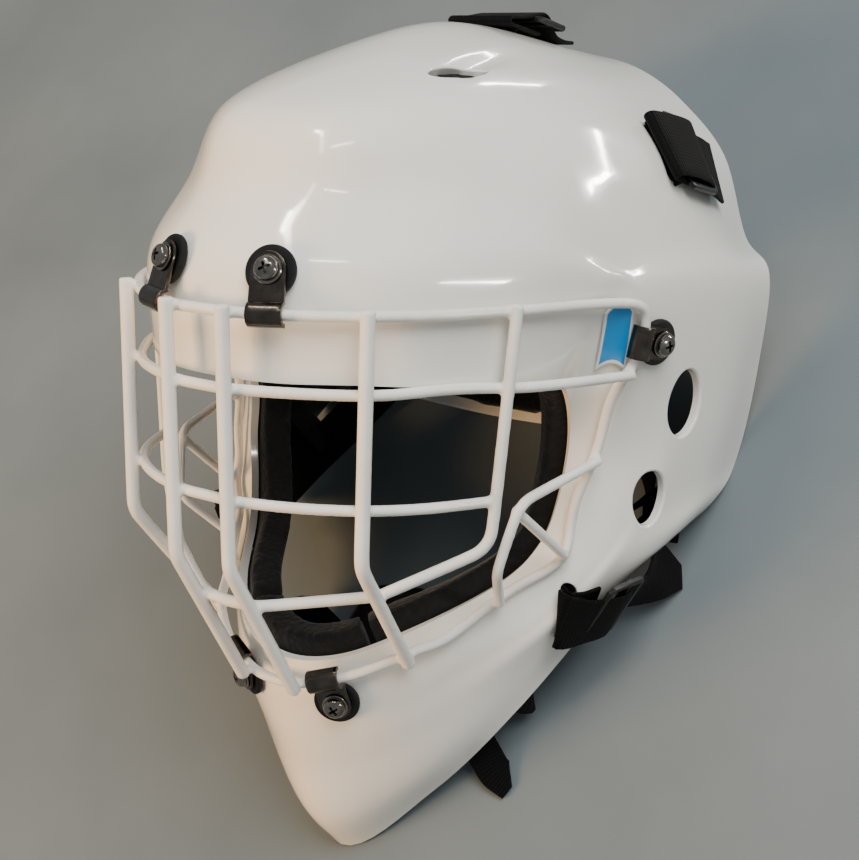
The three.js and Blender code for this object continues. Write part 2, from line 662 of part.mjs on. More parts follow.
for (const { side, sign, at } of sides) {
  // The upper straps leave the backplate's upper corners and pass under the shell's rear edge.
  const slope = (out) => at(upperStrap.round + (out - 4.4) * 0.45);
  add(
    `upper_strap_${side}`,
    webbing(
      [
        onPlate(sign * 30, 66, 2.4), onPlate(sign * 39, 76, 2.8), onPlate(sign * 49, 88, 4),
        free([sign * 66, 247, 16], [sign * -0.6, -0.8, 0]),
        free([sign * 77, 230, 33], [sign * -0.85, -0.4, -0.3]),
        ...slotStations(slope, upperStrap),
      ],
      sideWebWidth,
    ),
    blackWeb,
  );
  const upperOut = buckleOut(slope, upperStrap);
  add(
    `upper_buckle_${side}`,
    placeOn(triGlide(sideWebWidth).rotateZ(Math.PI / 2), slope(upperOut), upperOut, sign * -upperStrap.lean, 3.1),
    buckleBlack,
  );

  // The lower straps leave its lower corners, hang below the jaw's rear edge and come out
  // through the jaw slots. Their ends stand off the shell.
  const level = () => at(jawStrap.round);
  const rearward = surface(level(), 5).sub(surface(level(), 4.7)).normalize();
  add(
    `lower_strap_${side}`,
    webbing(
      [
        onPlate(sign * 22, 33, 2.4), onPlate(sign * 35, 28, 2.8), onPlate(sign * 48, 24, 4),
        free([sign * 71, 214, -76], [sign * -0.7, -0.7, 0]),
        free([sign * 86, 201, -98], [sign * -0.85, -0.3, 0.2]),
        free([sign * 93, 184, -112], [sign * -0.9, -0.1, 0.2]),
        ...slotStations(level, jawStrap),
        [above(level(), 5, 7).addScaledVector(rearward, 4), normal(level(), 4.9)],
        [above(level(), 5, 10).addScaledVector(rearward, 12), normal(level(), 4.9)],
      ],
      jawWebWidth,
    ),
    blackWeb,
  );
  const lowerOut = buckleOut(level, jawStrap);
  add(
    `jaw_buckle_${side}`,
    placeOn(triGlide(jawWebWidth).rotateZ(Math.PI / 2), level(), lowerOut, 0, 3.1 + jawStrap.lift / 2),
    buckleBlack,
  );
}

// The chin strap is one whole length: it hangs from inside both sides of the jaw, past its
// rear edge, and between them it lies on the floor under the chin cup.
const floorUp = vector([0, -Math.sin(THREE.MathUtils.degToRad(restTilt)), Math.cos(THREE.MathUtils.degToRad(restTilt))]);
const floorLevel = surface(13, 5).dot(floorUp) - 1;
function onFloor(x, y, height) {
  const z = (floorLevel - floorUp.y * y) / floorUp.z;
  return vector([x, y, z]).addScaledVector(floorUp, height);
}
const chinHalf = (sign, at) => {
  const rimRound = 11;
  const edge = surface(at(rimRound), 5).sub(surface(at(rimRound), 4.9)).normalize();
  return [
    underIt(at(10.95), 3.5, -9),
    underIt(at(10.97), 4.3, -11),
    [above(at(rimRound), 5, -10).addScaledVector(edge, 5), edge.clone().sub(normal(at(rimRound), 4.9)).normalize()],
    free([sign * 63, 142, -176], [sign * -0.7, -0.5, 0.5]),
    [onFloor(sign * 46, 143, 4), vector([sign * -0.3, -0.7, 0.6]).normalize()],
    [onFloor(sign * 20, 144, 1.8), floorUp],
  ];
};
const [leftHalf, rightHalf] = sides.map(({ sign, at }) => chinHalf(sign, at));
add("chin_strap", webbing([...leftHalf, ...rightHalf.reverse()], chinWebWidth), blackWeb);

function chinCup() {
  const back = vector([0, floorUp.z, -floorUp.y]);
  const rings = spread(-1, 1, 9).map((s) => {
    const base = onFloor(s * 37, 144, 2.9 + 6 * s * s);
    const half = 21 - 6 * Math.abs(s) ** 3;
    const thick = 8 - 4 * s * s;
    return [[-half, 0], [half, 0], [half, thick * 0.7], [half * 0.6, thick], [-half * 0.6, thick], [-half, thick * 0.7]]
      .map(([along, up]) => base.clone().addScaledVector(back, along).addScaledVector(floorUp, up));
  });
  return skin(rings);
}
add("chin_cup", chinCup(), foamBlack);

// ---- liner ----
const foam = (fromRound, toRound, fromSpan, toSpan, thick, at = (round) => round) =>
  patch(
    [[at(fromRound), fromSpan * span], [at(toRound), fromSpan * span], [at(toRound), toSpan * span], [at(fromRound), toSpan * span]],
    (toRound - fromRound) * 2 + 1,
    toSpan - fromSpan + 1,
    -shellWall - padGap - thick,
    -shellWall - padGap,
    2,
  );
add("forehead_pad", foam(-3, 3, 2, 7, 12), foamBlack);
add("crown_pad", foam(-3, 3, 8, 10, 10), foamBlack);
for (const { side, at } of sides) {
  add(`side_pad_${side}`, foam(3.5, 6, 3, 10, 11, at), foamBlack);
  add(`jaw_pad_${side}`, foam(6.4, 11.2, 1, 2, 8, at), foamBlack);
}
add("chin_pad", foam(11.5, 14.5, 1, 8, 14), foamBlack);

add("backplate", plateSheet(0, plate.wall, 0), plateWhite);
add("backplate_pad", plateSheet(-plate.pad - 0.4, -0.4, 3), foamBlack);

// ---- the finished part: tilted back to rest, its box's bottom centre at the origin ----
const part = new THREE.Group();
part.name = "goalie_mask";
worn.rotation.x = -THREE.MathUtils.degToRad(restTilt);
part.add(worn);
const box = new THREE.Box3().setFromObject(part, true);
worn.position.set(-(box.min.x + box.max.x) / 2, -(box.min.y + box.max.y) / 2, -box.min.z);

export default part;
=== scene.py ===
import math

import bmesh
import bpy
from mathutils import Matrix, Vector
from mathutils.bvhtree import BVHTree


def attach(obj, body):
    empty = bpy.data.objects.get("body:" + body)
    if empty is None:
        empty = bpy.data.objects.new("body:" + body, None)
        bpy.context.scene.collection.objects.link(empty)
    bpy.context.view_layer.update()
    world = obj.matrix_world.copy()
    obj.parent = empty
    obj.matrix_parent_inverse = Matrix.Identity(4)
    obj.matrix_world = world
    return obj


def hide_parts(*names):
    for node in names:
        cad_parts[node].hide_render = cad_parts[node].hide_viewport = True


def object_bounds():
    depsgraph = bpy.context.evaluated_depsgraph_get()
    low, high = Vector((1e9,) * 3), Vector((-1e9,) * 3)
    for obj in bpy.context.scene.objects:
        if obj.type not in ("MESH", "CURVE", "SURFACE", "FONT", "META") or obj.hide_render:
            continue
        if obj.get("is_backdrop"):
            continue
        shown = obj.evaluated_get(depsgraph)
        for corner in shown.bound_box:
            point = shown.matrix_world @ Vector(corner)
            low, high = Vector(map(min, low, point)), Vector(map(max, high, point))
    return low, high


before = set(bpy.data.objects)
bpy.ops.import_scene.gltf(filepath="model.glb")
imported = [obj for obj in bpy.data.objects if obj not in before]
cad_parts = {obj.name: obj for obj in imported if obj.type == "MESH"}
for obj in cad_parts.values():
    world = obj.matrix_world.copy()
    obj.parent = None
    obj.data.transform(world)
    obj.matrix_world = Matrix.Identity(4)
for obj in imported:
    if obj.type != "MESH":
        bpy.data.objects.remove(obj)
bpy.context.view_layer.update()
bpy.ops.object.select_all(action="DESELECT")
mm = 0.001

# Sizes below are millimetres as worn: x to the wearer's left, y to the back, z up, with the
# cage's top bar at z 0. onFloor() turns a point from there to the mask lying on the floor.
rest = {"tilt": 50.4, "back": 0.0, "up": 0.0}


def onFloor(point):
    x, y, z = point
    turn = math.radians(rest["tilt"])
    back = y * math.cos(turn) + z * math.sin(turn) + rest["back"]
    up = z * math.cos(turn) - y * math.sin(turn) + rest["up"]
    return Vector((x, back, up)) * mm


def turned(direction):
    turn = math.radians(rest["tilt"])
    x, y, z = direction
    return Vector((x, y * math.cos(turn) + z * math.sin(turn), z * math.cos(turn) - y * math.sin(turn)))


# Form of the shell: half of it, from the crown's centre line round the wearer's left to the
# chin. Each row runs from the edge of the face port out to the rear edge. A place on the
# shell is how many rows round it stands, ringAt, and how many points out, out.
halfRows = [
    # crown centre
    ((0, 11, -29), (0, 11, 8), (0, 29, 34), (0, 52, 66), (0, 144, 98), (0, 247, 90)),
    ((25, 15, -29), (26, 16, 8), (26, 34, 34), (26, 56, 66), (24, 144, 93), (27, 246, 88)),
    ((47, 29, -29), (50, 30, 8), (48, 50, 34), (48, 72, 65), (47, 142, 83), (48, 246, 82)),
    ((66, 47, -30), (70, 51, 7), (68, 70, 33), (66, 92, 59), (67, 146, 72), (68, 247, 69)),
    ((79, 69, -31), (86, 79, 6), (87, 95, 25), (86, 116, 43), (92, 165, 48), (90, 247, 46)),
    # flare top
    ((87, 99, -34), (97, 107, 4), (100, 124, 9), (103, 146, 13), (108, 194, 14), (103, 247, 11)),
    ((86, 116, -42), (102, 124, -6), (107, 136, -6), (111, 156, -6), (117, 200, -6), (118, 240, -4)),
    # ear
    ((83, 125, -63), (98, 138, -60), (106, 150, -60), (112, 166, -58), (117, 202, -52), (117, 239, -44)),
    ((81, 122, -86), (95, 132, -90), (103, 142, -93), (108, 155, -92), (114, 190, -88), (115, 228, -84)),
    ((76, 117, -105), (89, 123, -111), (96, 129, -113), (102, 138, -112), (111, 170, -107), (113, 206, -102)),
    # jaw
    ((66, 104, -120), (75, 107, -131), (81, 111, -135), (87, 118, -136), (94, 139, -132), (97, 166, -126)),
    ((46, 74, -135), (54, 81, -148), (58, 88, -157), (62, 95, -164), (67, 106, -171), (71, 119, -177)),
    ((24, 55, -146), (29, 59, -163), (33, 66, -176), (35, 74, -190), (37, 86, -210), (38, 103, -221)),
    # chin centre
    ((0, 49, -150), (0, 51, -167), (0, 54, -183), (0, 61, -204), (0, 71, -232), (0, 88, -253)),
]
ringRows = halfRows + [tuple((-x, y, z) for x, y, z in row) for row in reversed(halfRows[1:-1])]
ringCount = len(ringRows)
sides = [("left", 1, lambda ringAt: ringAt), ("right", -1, lambda ringAt: ringCount - ringAt)]


def passThrough(points, t):
    # Catmull-Rom: a curve through every point, with t counted in points
    i = min(int(t), len(points) - 2)
    u = t - i
    p1, p2 = points[i], points[i + 1]
    p0 = points[i - 1] if i > 0 else p1 * 2 - p2
    p3 = points[i + 2] if i + 2 < len(points) else p2 * 2 - p1
    bend = 2 * p0 - 5 * p1 + 4 * p2 - p3
    return 0.5 * (2 * p1 + (p2 - p0) * u + bend * u * u + (3 * p1 - p0 - 3 * p2 + p3) * u**3)


def shellAt(ringAt, out):
    base = math.floor(ringAt)
    across = []
    for loop in range(6):
        near = [Vector(ringRows[(base + k) % ringCount][loop]) for k in (-1, 0, 1, 2)]
        across.append(passThrough(near, 1 + ringAt - base))
    return passThrough(across, out)


def shellFacing(ringAt, out):
    low, high = max(out - 0.03, 0), min(out + 0.03, 5)
    around = shellAt(ringAt + 0.03, out) - shellAt(ringAt - 0.03, out)
    return around.cross(shellAt(ringAt, high) - shellAt(ringAt, low)).normalized()


def above(ringAt, out, height):
    return shellAt(ringAt, out) + shellFacing(ringAt, out) * height


def walk(ringAt, out, distance):
    # the out reached by going a distance over the shell, in ten steps
    for step in range(10):
        slope = (shellAt(ringAt, min(out + 0.02, 5)) - shellAt(ringAt, out - 0.02)).length / 0.04
        out += distance / 10 / slope
    return out


def smoothStep(low, high, x):
    t = min(max((x - low) / (high - low), 0), 1)
    return t * t * (3 - 2 * t)


def softened(points, rounds):
    for k in range(rounds):
        inner = [(a + b * 2 + c) / 4 for a, b, c in zip(points, points[1:], points[2:])]
        points = [points[0]] + inner + [points[-1]]
    return points


# the chin's tip is the frontmost point of the CAD shell, and says where the mask lies
chinTip = min((v.co.copy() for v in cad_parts["shell"].data.vertices), key=lambda co: co.y)
chinHere = onFloor(halfRows[-1][5])
rest["back"] = (chinTip.y - chinHere.y) / mm
rest["up"] = (chinTip.z - chinHere.z) / mm
print("mask lies at back %.2f, up %.2f" % (rest["back"], rest["up"]))


# Materials, each a function named for what the real one is
def colour(hexValue):
    # sRGB hex to the linear values that Blender reads
    parts = [int(hexValue[i : i + 2], 16) / 255 for i in (1, 3, 5)]
    return [c / 12.92 if c <= 0.04045 else ((c + 0.055) / 1.055) ** 2.4 for c in parts] + [1]


def setInputs(material, node, **inputs):
    # each input gets a value or a link from a socket; n0 and n1 are inputs by number
    for name, value in inputs.items():
        numbered = name[0] == "n" and name[1:].isdigit()
        socket = node.inputs[int(name[1:]) if numbered else name.replace("_", " ")]
        if isinstance(value, bpy.types.NodeSocket):
            material.node_tree.links.new(value, socket)
        else:
            socket.default_value = value


def addNode(material, kind, settings=None, stops=(), **inputs):
    # a node with its settings, the stops of its ramp, and its values and links
    node = material.node_tree.nodes.new(kind)
    for name, value in (settings or {}).items():
        setattr(node, name, value)
    for k, (position, tone) in enumerate(stops):
        node.color_ramp.elements[k].position = position
        node.color_ramp.elements[k].color = colour(tone)
    setInputs(material, node, **inputs)
    return node


def newMaterial(name, **inputs):
    material = bpy.data.materials.new(name)
    material.use_nodes = True
    shader = material.node_tree.nodes["Principled BSDF"]
    setInputs(material, shader, **inputs)
    return material, shader


def mouldedGelcoat():
    # Glossy white gelcoat over laminate, moulded and polished: sharp reflections with a
    # slight orange peel about 6 mm across, and a little dust that dulls it in patches.
    look = {"colour": "#f4f0e8", "shade": "#eeeae1", "peel": 6, "roughness": 0.1, "dust": 0.1}
    material, shader = newMaterial("mouldedGelcoat", IOR=1.5, Coat_Weight=0.6, Coat_Roughness=0.04)
    place = addNode(material, "ShaderNodeTexCoord").outputs["Object"]
    drift = addNode(material, "ShaderNodeTexNoise", Vector=place, Scale=9, Detail=3)
    stops = [(0.35, look["shade"]), (0.65, look["colour"])]
    tone = addNode(material, "ShaderNodeValToRGB", stops=stops, Fac=drift.outputs["Fac"])
    dust = addNode(material, "ShaderNodeTexNoise", Vector=place, Scale=45, Detail=6, Roughness=0.65)
    rough = addNode(
        material, "ShaderNodeMapRange", Value=dust.outputs["Fac"], From_Min=0.35, From_Max=0.75,
        To_Min=look["roughness"], To_Max=look["roughness"] + look["dust"],
    )
    peel = addNode(material, "ShaderNodeTexNoise", Vector=place, Scale=1000 / look["peel"], Detail=1)
    bump = addNode(material, "ShaderNodeBump", Height=peel.outputs["Fac"], Strength=0.012, Distance=0.002)
    setInputs(
        material, shader, Base_Color=tone.outputs["Color"], Roughness=rough.outputs["Result"],
        Normal=bump.outputs["Normal"],
    )
    return material


def rawLaminate():
    # The unpainted inside of the shell: dark resin over a woven cloth. Its tows are drawn
    # coarser than real ones, so that they show, with painted shade: darker in the grooves between
    # the tows and lighter on their crowns.
    material, shader = newMaterial("rawLaminate", Roughness=0.55)
    place = addNode(material, "ShaderNodeTexCoord").outputs["Object"]
    bands = {"wave_type": "BANDS", "bands_direction": "DIAGONAL"}
    weave = addNode(material, "ShaderNodeTexWave", bands, Vector=place, Scale=50, Distortion=1.5)
    # painted shade: the low grooves of the weave take the darker stop, the raised tows the lighter
    stops = [(0.2, "#040405"), (0.8, "#0a0a0b")]
    tone = addNode(material, "ShaderNodeValToRGB", stops=stops, Fac=weave.outputs["Fac"])
    bump = addNode(material, "ShaderNodeBump", Height=weave.outputs["Fac"], Strength=0.3, Distance=0.0004)
    setInputs(material, shader, Base_Color=tone.outputs["Color"], Normal=bump.outputs["Normal"])
    return material


def wireEnamel():
    # White powder enamel baked on steel wire: soft gloss, with an orange peel of about 2 mm.
    material, shader = newMaterial("wireEnamel", IOR=1.5)
    place = addNode(material, "ShaderNodeTexCoord").outputs["Object"]
    drift = addNode(material, "ShaderNodeTexNoise", Vector=place, Scale=60, Detail=3)
    stops = [(0.3, "#e9e5dc"), (0.7, "#f3f0ea")]
    tone = addNode(material, "ShaderNodeValToRGB", stops=stops, Fac=drift.outputs["Fac"])
    rough = addNode(material, "ShaderNodeMapRange", Value=drift.outputs["Fac"], To_Min=0.14, To_Max=0.3)
    peel = addNode(material, "ShaderNodeTexNoise", Vector=place, Scale=500, Detail=1)
    bump = addNode(material, "ShaderNodeBump", Height=peel.outputs["Fac"], Strength=0.05, Distance=0.0004)
    setInputs(
        material, shader, Base_Color=tone.outputs["Color"], Roughness=rough.outputs["Result"],
        Normal=bump.outputs["Normal"],
    )
    return material


def blackNickel(name, dark, light, roughness):
    # Nickel plate on pressed steel: a mirror with fine draw marks, browner where it is thin.
    material, shader = newMaterial(name, Metallic=1)
    place = addNode(material, "ShaderNodeTexCoord").outputs["Object"]
    stain = addNode(material, "ShaderNodeTexNoise", Vector=place, Scale=220, Detail=4)
    stops = [(0.3, dark), (0.7, light)]
    tone = addNode(material, "ShaderNodeValToRGB", stops=stops, Fac=stain.outputs["Fac"])
    rough = addNode(
        material, "ShaderNodeMapRange", Value=stain.outputs["Fac"],
        To_Min=roughness - 0.06, To_Max=roughness + 0.1,
    )
    marks = addNode(material, "ShaderNodeTexNoise", Vector=place, Scale=900, Detail=2)
    bump = addNode(material, "ShaderNodeBump", Height=marks.outputs["Fac"], Strength=0.08, Distance=0.0002)
    setInputs(
        material, shader, Base_Color=tone.outputs["Color"], Roughness=rough.outputs["Result"],
        Normal=bump.outputs["Normal"],
    )
    return material


def mouldedRubber():
    # Black moulded rubber: matt, with a fine grain of about 0.4 mm and a grey bloom of dust.
    material, shader = newMaterial("mouldedRubber", Roughness=0.75)
    place = addNode(material, "ShaderNodeTexCoord").outputs["Object"]
    bloom = addNode(material, "ShaderNodeTexNoise", Vector=place, Scale=300, Detail=5)
    stops = [(0.35, "#0a0a0b"), (0.75, "#161618")]
    tone = addNode(material, "ShaderNodeValToRGB", stops=stops, Fac=bloom.outputs["Fac"])
    grain = addNode(material, "ShaderNodeTexNoise", Vector=place, Scale=2500, Detail=2)
    bump = addNode(material, "ShaderNodeBump", Height=grain.outputs["Fac"], Strength=0.4, Distance=0.0002)
    setInputs(material, shader, Base_Color=tone.outputs["Color"], Normal=bump.outputs["Normal"])
    return material


def wovenWebbing():
    # Black nylon webbing, woven: crosswise picks 1.4 mm apart over lengthwise ribs 1.7 mm
    # wide, drawn a little coarse so that they show. It is matt with a faint sheen. Its tone is
    # painted shade, darker in the hollows of the weave and lighter on its raised crowns.
    look = {"rib": 1.7, "pick": 1.4}
    material, shader = newMaterial("wovenWebbing", Roughness=0.9, Specular_IOR_Level=0.25)
    flat = addNode(material, "ShaderNodeUVMap", {"uv_map": "weave"}).outputs["UV"]
    split = addNode(material, "ShaderNodeSeparateXYZ", Vector=flat)
    waves = []
    for axis, spacing in (("X", look["rib"]), ("Y", look["pick"])):
        angle = addNode(
            material, "ShaderNodeMath", {"operation": "MULTIPLY"},
            n0=split.outputs[axis], n1=2 * math.pi / spacing,
        )
        waves.append(addNode(material, "ShaderNodeMath", {"operation": "SINE"}, n0=angle.outputs[0]))
    ribs, picks = waves
    weave = addNode(
        material, "ShaderNodeMath", {"operation": "MULTIPLY_ADD"},
        n0=ribs.outputs[0], n1=0.5, n2=picks.outputs[0],
    )
    high = addNode(material, "ShaderNodeMapRange", Value=weave.outputs[0], From_Min=-1.5, From_Max=1.5)
    # painted shade: low places of the weave take the darker stop, raised ribs and picks the lighter
    stops = [(0.1, "#020202"), (0.9, "#0c0c0d")]
    tone = addNode(material, "ShaderNodeValToRGB", stops=stops, Fac=high.outputs["Result"])
    bump = addNode(material, "ShaderNodeBump", Height=high.outputs["Result"], Strength=0.6, Distance=0.0004)
    setInputs(material, shader, Base_Color=tone.outputs["Color"], Normal=bump.outputs["Normal"])
    return material


def mouldedPlastic(name, dark, light, roughness):
    # Acetal or polypropylene: satin, with a spark-eroded texture of about 0.3 mm.
    material, shader = newMaterial(name, IOR=1.48)
    place = addNode(material, "ShaderNodeTexCoord").outputs["Object"]
    drift = addNode(material, "ShaderNodeTexNoise", Vector=place, Scale=120, Detail=4)
    stops = [(0.3, dark), (0.7, light)]
    tone = addNode(material, "ShaderNodeValToRGB", stops=stops, Fac=drift.outputs["Fac"])
    rough = addNode(
        material, "ShaderNodeMapRange", Value=drift.outputs["Fac"],
        To_Min=roughness - 0.08, To_Max=roughness + 0.08,
    )
    grain = addNode(material, "ShaderNodeTexNoise", Vector=place, Scale=3000, Detail=1)
    bump = addNode(material, "ShaderNodeBump", Height=grain.outputs["Fac"], Strength=0.15, Distance=0.0002)
    setInputs(
        material, shader, Base_Color=tone.outputs["Color"], Roughness=rough.outputs["Result"],
        Normal=bump.outputs["Normal"],
    )
    return material


def linerFoam():
    # Black closed-cell foam under a pressed cloth face: matt, pebbled about 2 mm across, with
    # painted shade that darkens the hollows between the pebbles and lightens their tops.
    material, shader = newMaterial("linerFoam", Roughness=0.9, Sheen_Weight=0.1)
    place = addNode(material, "ShaderNodeTexCoord").outputs["Object"]
    pebble = addNode(material, "ShaderNodeTexVoronoi", {"feature": "SMOOTH_F1"}, Vector=place, Scale=450)
    # painted shade: the pebbles' raised middles take the lighter stop, the hollows between them the darker
    stops = [(0.1, "#0b0b0c"), (0.7, "#030303")]
    tone = addNode(material, "ShaderNodeValToRGB", stops=stops, Fac=pebble.outputs["Distance"])
    bump = addNode(
        material, "ShaderNodeBump", {"invert": True},
        Height=pebble.outputs["Distance"], Strength=0.6, Distance=0.0008,
    )
    setInputs(material, shader, Base_Color=tone.outputs["Color"], Normal=bump.outputs["Normal"])
    return material


def printedPanel():
    # Blue printing on a white plastic panel, bare, under a thin clear film.
    material, shader = newMaterial("printedPanel", Roughness=0.3, Coat_Weight=0.3)
    printed = addNode(material, "ShaderNodeAttribute", {"attribute_name": "printed"}).outputs["Fac"]
    stops = [(0.49, "#eceae4"), (0.51, "#1c8fd3")]
    tone = addNode(material, "ShaderNodeValToRGB", stops=stops, Fac=printed)
    setInputs(material, shader, Base_Color=tone.outputs["Color"])
    return material


def paintedConcrete():
    # The floor: pale matt grey paint on smooth concrete, with faint mottling.
    material, shader = newMaterial("paintedConcrete", Roughness=0.6)
    place = addNode(material, "ShaderNodeTexCoord").outputs["Object"]
    mottle = addNode(material, "ShaderNodeTexNoise", Vector=place, Scale=7, Detail=8)
    stops = [(0.3, "#636c70"), (0.7, "#6f787c")]
    tone = addNode(material, "ShaderNodeValToRGB", stops=stops, Fac=mottle.outputs["Fac"])
    setInputs(material, shader, Base_Color=tone.outputs["Color"])
    return material


finishes = {
    "gelcoat": mouldedGelcoat(),
    "laminate": rawLaminate(),
    "enamel": wireEnamel(),
    "clip": blackNickel("blackNickel", "#4a443e", "#645d55", 0.2),
    "screw": blackNickel("brightNickel", "#77716a", "#9a948c", 0.16),
    "rubber": mouldedRubber(),
    "webbing": wovenWebbing(),
    "acetal": mouldedPlastic("blackAcetal", "#080809", "#121213", 0.4),
    "plate": mouldedPlastic("whitePolypropylene", "#dedbd2", "#e9e6de", 0.4),
    "foam": linerFoam(),
    "panel": printedPanel(),
    "concrete": paintedConcrete(),
}
print("materials made")


# Ways of making pieces
def choose(piece):
    bpy.ops.object.select_all(action="DESELECT")
    piece.select_set(True)
    bpy.context.view_layer.objects.active = piece


def applyAll(piece):
    choose(piece)
    for modifier in list(piece.modifiers):
        bpy.ops.object.modifier_apply(modifier=modifier.name)
    piece.select_set(False)


def finishPiece(piece, material, node, smooth):
    # material, edges smoothed up to an angle in degrees, and the CAD node it stands for
    if material:
        piece.data.materials.clear()
        piece.data.materials.append(material)
    choose(piece)
    bpy.ops.object.shade_smooth_by_angle(angle=math.radians(smooth))
    piece.select_set(False)
    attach(piece, "root")
    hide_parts(node)


def editMesh(piece, work):
    mesh = bmesh.new()
    mesh.from_mesh(piece.data)
    result = work(mesh)
    mesh.to_mesh(piece.data)
    mesh.free()
    return result


def faceOutwards(mesh):
    bmesh.ops.recalc_face_normals(mesh, faces=mesh.faces)


def ringsPiece(name, rings, flipped=False):
    # a closed piece through rings of as many points, in metres, with an end at each side;
    # flipped turns the ends' order of points, which splits an uneven end another way
    count = len(rings[0])
    verts = [point for ring in rings for point in ring]
    faces = []
    for low in range(0, len(verts) - count, count):
        for k in range(count):
            after = (k + 1) % count
            faces.append([low + k, low + after, low + count + after, low + count + k])
    ends = [list(range(count))[::-1], list(range(len(verts) - count, len(verts)))]
    faces += [end[::-1] for end in ends] if flipped else ends
    mesh = bpy.data.meshes.new(name)
    mesh.from_pydata(verts, [], faces)
    piece = bpy.data.objects.new(name, mesh)
    bpy.context.collection.objects.link(piece)
    editMesh(piece, faceOutwards)
    return piece


def gridPiece(name, columns, rows, place):
    # a grid whose points are put in place; place takes two shares from 0 to 1
    bpy.ops.mesh.primitive_grid_add(x_subdivisions=columns, y_subdivisions=rows, size=2)
    piece = bpy.context.object
    piece.name = name
    for vertex in piece.data.vertices:
        vertex.co = place((vertex.co.x + 1) / 2, (vertex.co.y + 1) / 2)
    piece.select_set(False)
    return piece


def joined(name, pieces):
    choose(pieces[0])
    for piece in pieces[1:]:
        piece.select_set(True)
    bpy.ops.object.join()
    pieces[0].name = name
    pieces[0].select_set(False)
    return pieces[0]


def cutOut(piece, cutter):
    modifier = piece.modifiers.new("cut", "BOOLEAN")
    modifier.operation = "DIFFERENCE"
    modifier.solver = "MANIFOLD"
    modifier.object = cutter
    applyAll(piece)
    bpy.data.objects.remove(cutter)


def roundEdges(piece, width, segments, angle):
    bevel = piece.modifiers.new("edges", "BEVEL")
    bevel.width, bevel.segments = width * mm, segments
    bevel.limit_method, bevel.angle_limit = "ANGLE", math.radians(angle)


def thicken(piece, thickness, offset):
    wall = piece.modifiers.new("wall", "SOLIDIFY")
    wall.thickness, wall.offset = thickness * mm, offset
    return wall


def weld(piece, voxel, rounds):
    # melt joined pieces into one skin, as weld and enamel do
    remesh = piece.modifiers.new("weld", "REMESH")
    remesh.mode, remesh.voxel_size = "VOXEL", voxel * mm
    soften = piece.modifiers.new("soften", "SMOOTH")
    soften.factor, soften.iterations = 0.5, rounds
    applyAll(piece)


def moved(piece, matrix):
    piece.data.transform(matrix)
    piece.data.update()
    return piece


def copied(piece, name):
    twin = bpy.data.objects.new(name, piece.data.copy())
    bpy.context.collection.objects.link(twin)
    return twin


def framed(x, y, z, origin):
    # the matrix whose axes are x, y and z and whose place is origin
    matrix = Matrix((x, y, z)).transposed().to_4x4()
    matrix.translation = origin
    return matrix


def seatOf(ringAt, out, height=0.0, turn=0.0):
    # frame on the shell: z is its normal, y points up as worn
    z = shellFacing(ringAt, out)
    high = Vector((0, 0, 1)) if abs(z.z) < 0.93 else Vector((0, 1, 0))
    y = (high - z * high.dot(z)).normalized()
    seat = framed(turned(y.cross(z)), turned(y), turned(z), onFloor(above(ringAt, out, height)))
    return seat @ Matrix.Rotation(math.radians(turn), 4, "Z")


# Shell: a grid shaped over the form, thickened inward, with its holes cut through
shellLook = {
    "wall": 3.5, "edge": 1.2, "ringSteps": 8, "outSteps": 16, "cutDepth": 9,
    # a place is how far round and out, a size is millimetres across and high
    "ears": [((6.85, 3.1), (22, 28)), ((7.85, 2.75), (18, 23))], "earEdge": 1.3,
    "vent": ((1.7, 3.52), (26, 10)), "ventEdge": 0.8, "ventTurn": 12, "ventRecess": 2.0,
    "crownSlot": ((0, 4.42), (32, 6)), "jawSlot": ((9.9, 3), (25, 6)),
    "upperSlot": ((3.94, 4.19), (27, 6)), "upperTurn": -12, "slotEdge": 0.6,
}


def reliefAt(ringAt, out):
    # the vent's soft recess runs back from its opening; sizes here are about millimetres
    ventRing, ventOut = shellLook["vent"][0]
    depth = 0
    for centre in (ventRing, ringCount - ventRing):
        aside = min(abs(ringAt - centre), ringCount - abs(ringAt - centre)) * 24
        back = (out - ventOut) * 100
        width = 8 if back < 0 else 8 - back * 0.05
        across = 1 - smoothStep(0.2, 1, aside / max(width, 3))
        depth += shellLook["ventRecess"] * across * smoothStep(-9, -3, back) * (1 - smoothStep(10, 60, back))
    return -depth


def shellPoint(ringShare, outShare):
    ringAt, out = ringShare * ringCount, outShare * 5
    sink = reliefAt(ringAt, out)
    return onFloor(above(ringAt, out, sink) if sink < -0.01 else shellAt(ringAt, out))


def closeSeam(mesh):
    # merge where the grid meets itself, face outwards, and keep a tree of the outer surface
    bmesh.ops.remove_doubles(mesh, verts=mesh.verts, dist=0.00002)
    faceOutwards(mesh)
    count = len(mesh.verts)
    middle = Vector((0, sum(v.co.y for v in mesh.verts) / count, sum(v.co.z for v in mesh.verts) / count))
    outward = sum((f.calc_center_median() - middle).dot(f.normal) * f.calc_area() for f in mesh.faces)
    if outward < 0:
        bmesh.ops.reverse_faces(mesh, faces=mesh.faces)
    return BVHTree.FromBMesh(mesh)


shell = gridPiece("mask_shell", ringCount * shellLook["ringSteps"], 5 * shellLook["outSteps"], shellPoint)
shellTree = editMesh(shell, closeSeam)
wall = thicken(shell, shellLook["wall"], -1)
wall.use_even_offset = True
wall.material_offset, wall.material_offset_rim = 1, 0
roundEdges(shell, shellLook["edge"], 3, 50)
shell.data.materials.append(finishes["gelcoat"])
shell.data.materials.append(finishes["laminate"])
applyAll(shell)


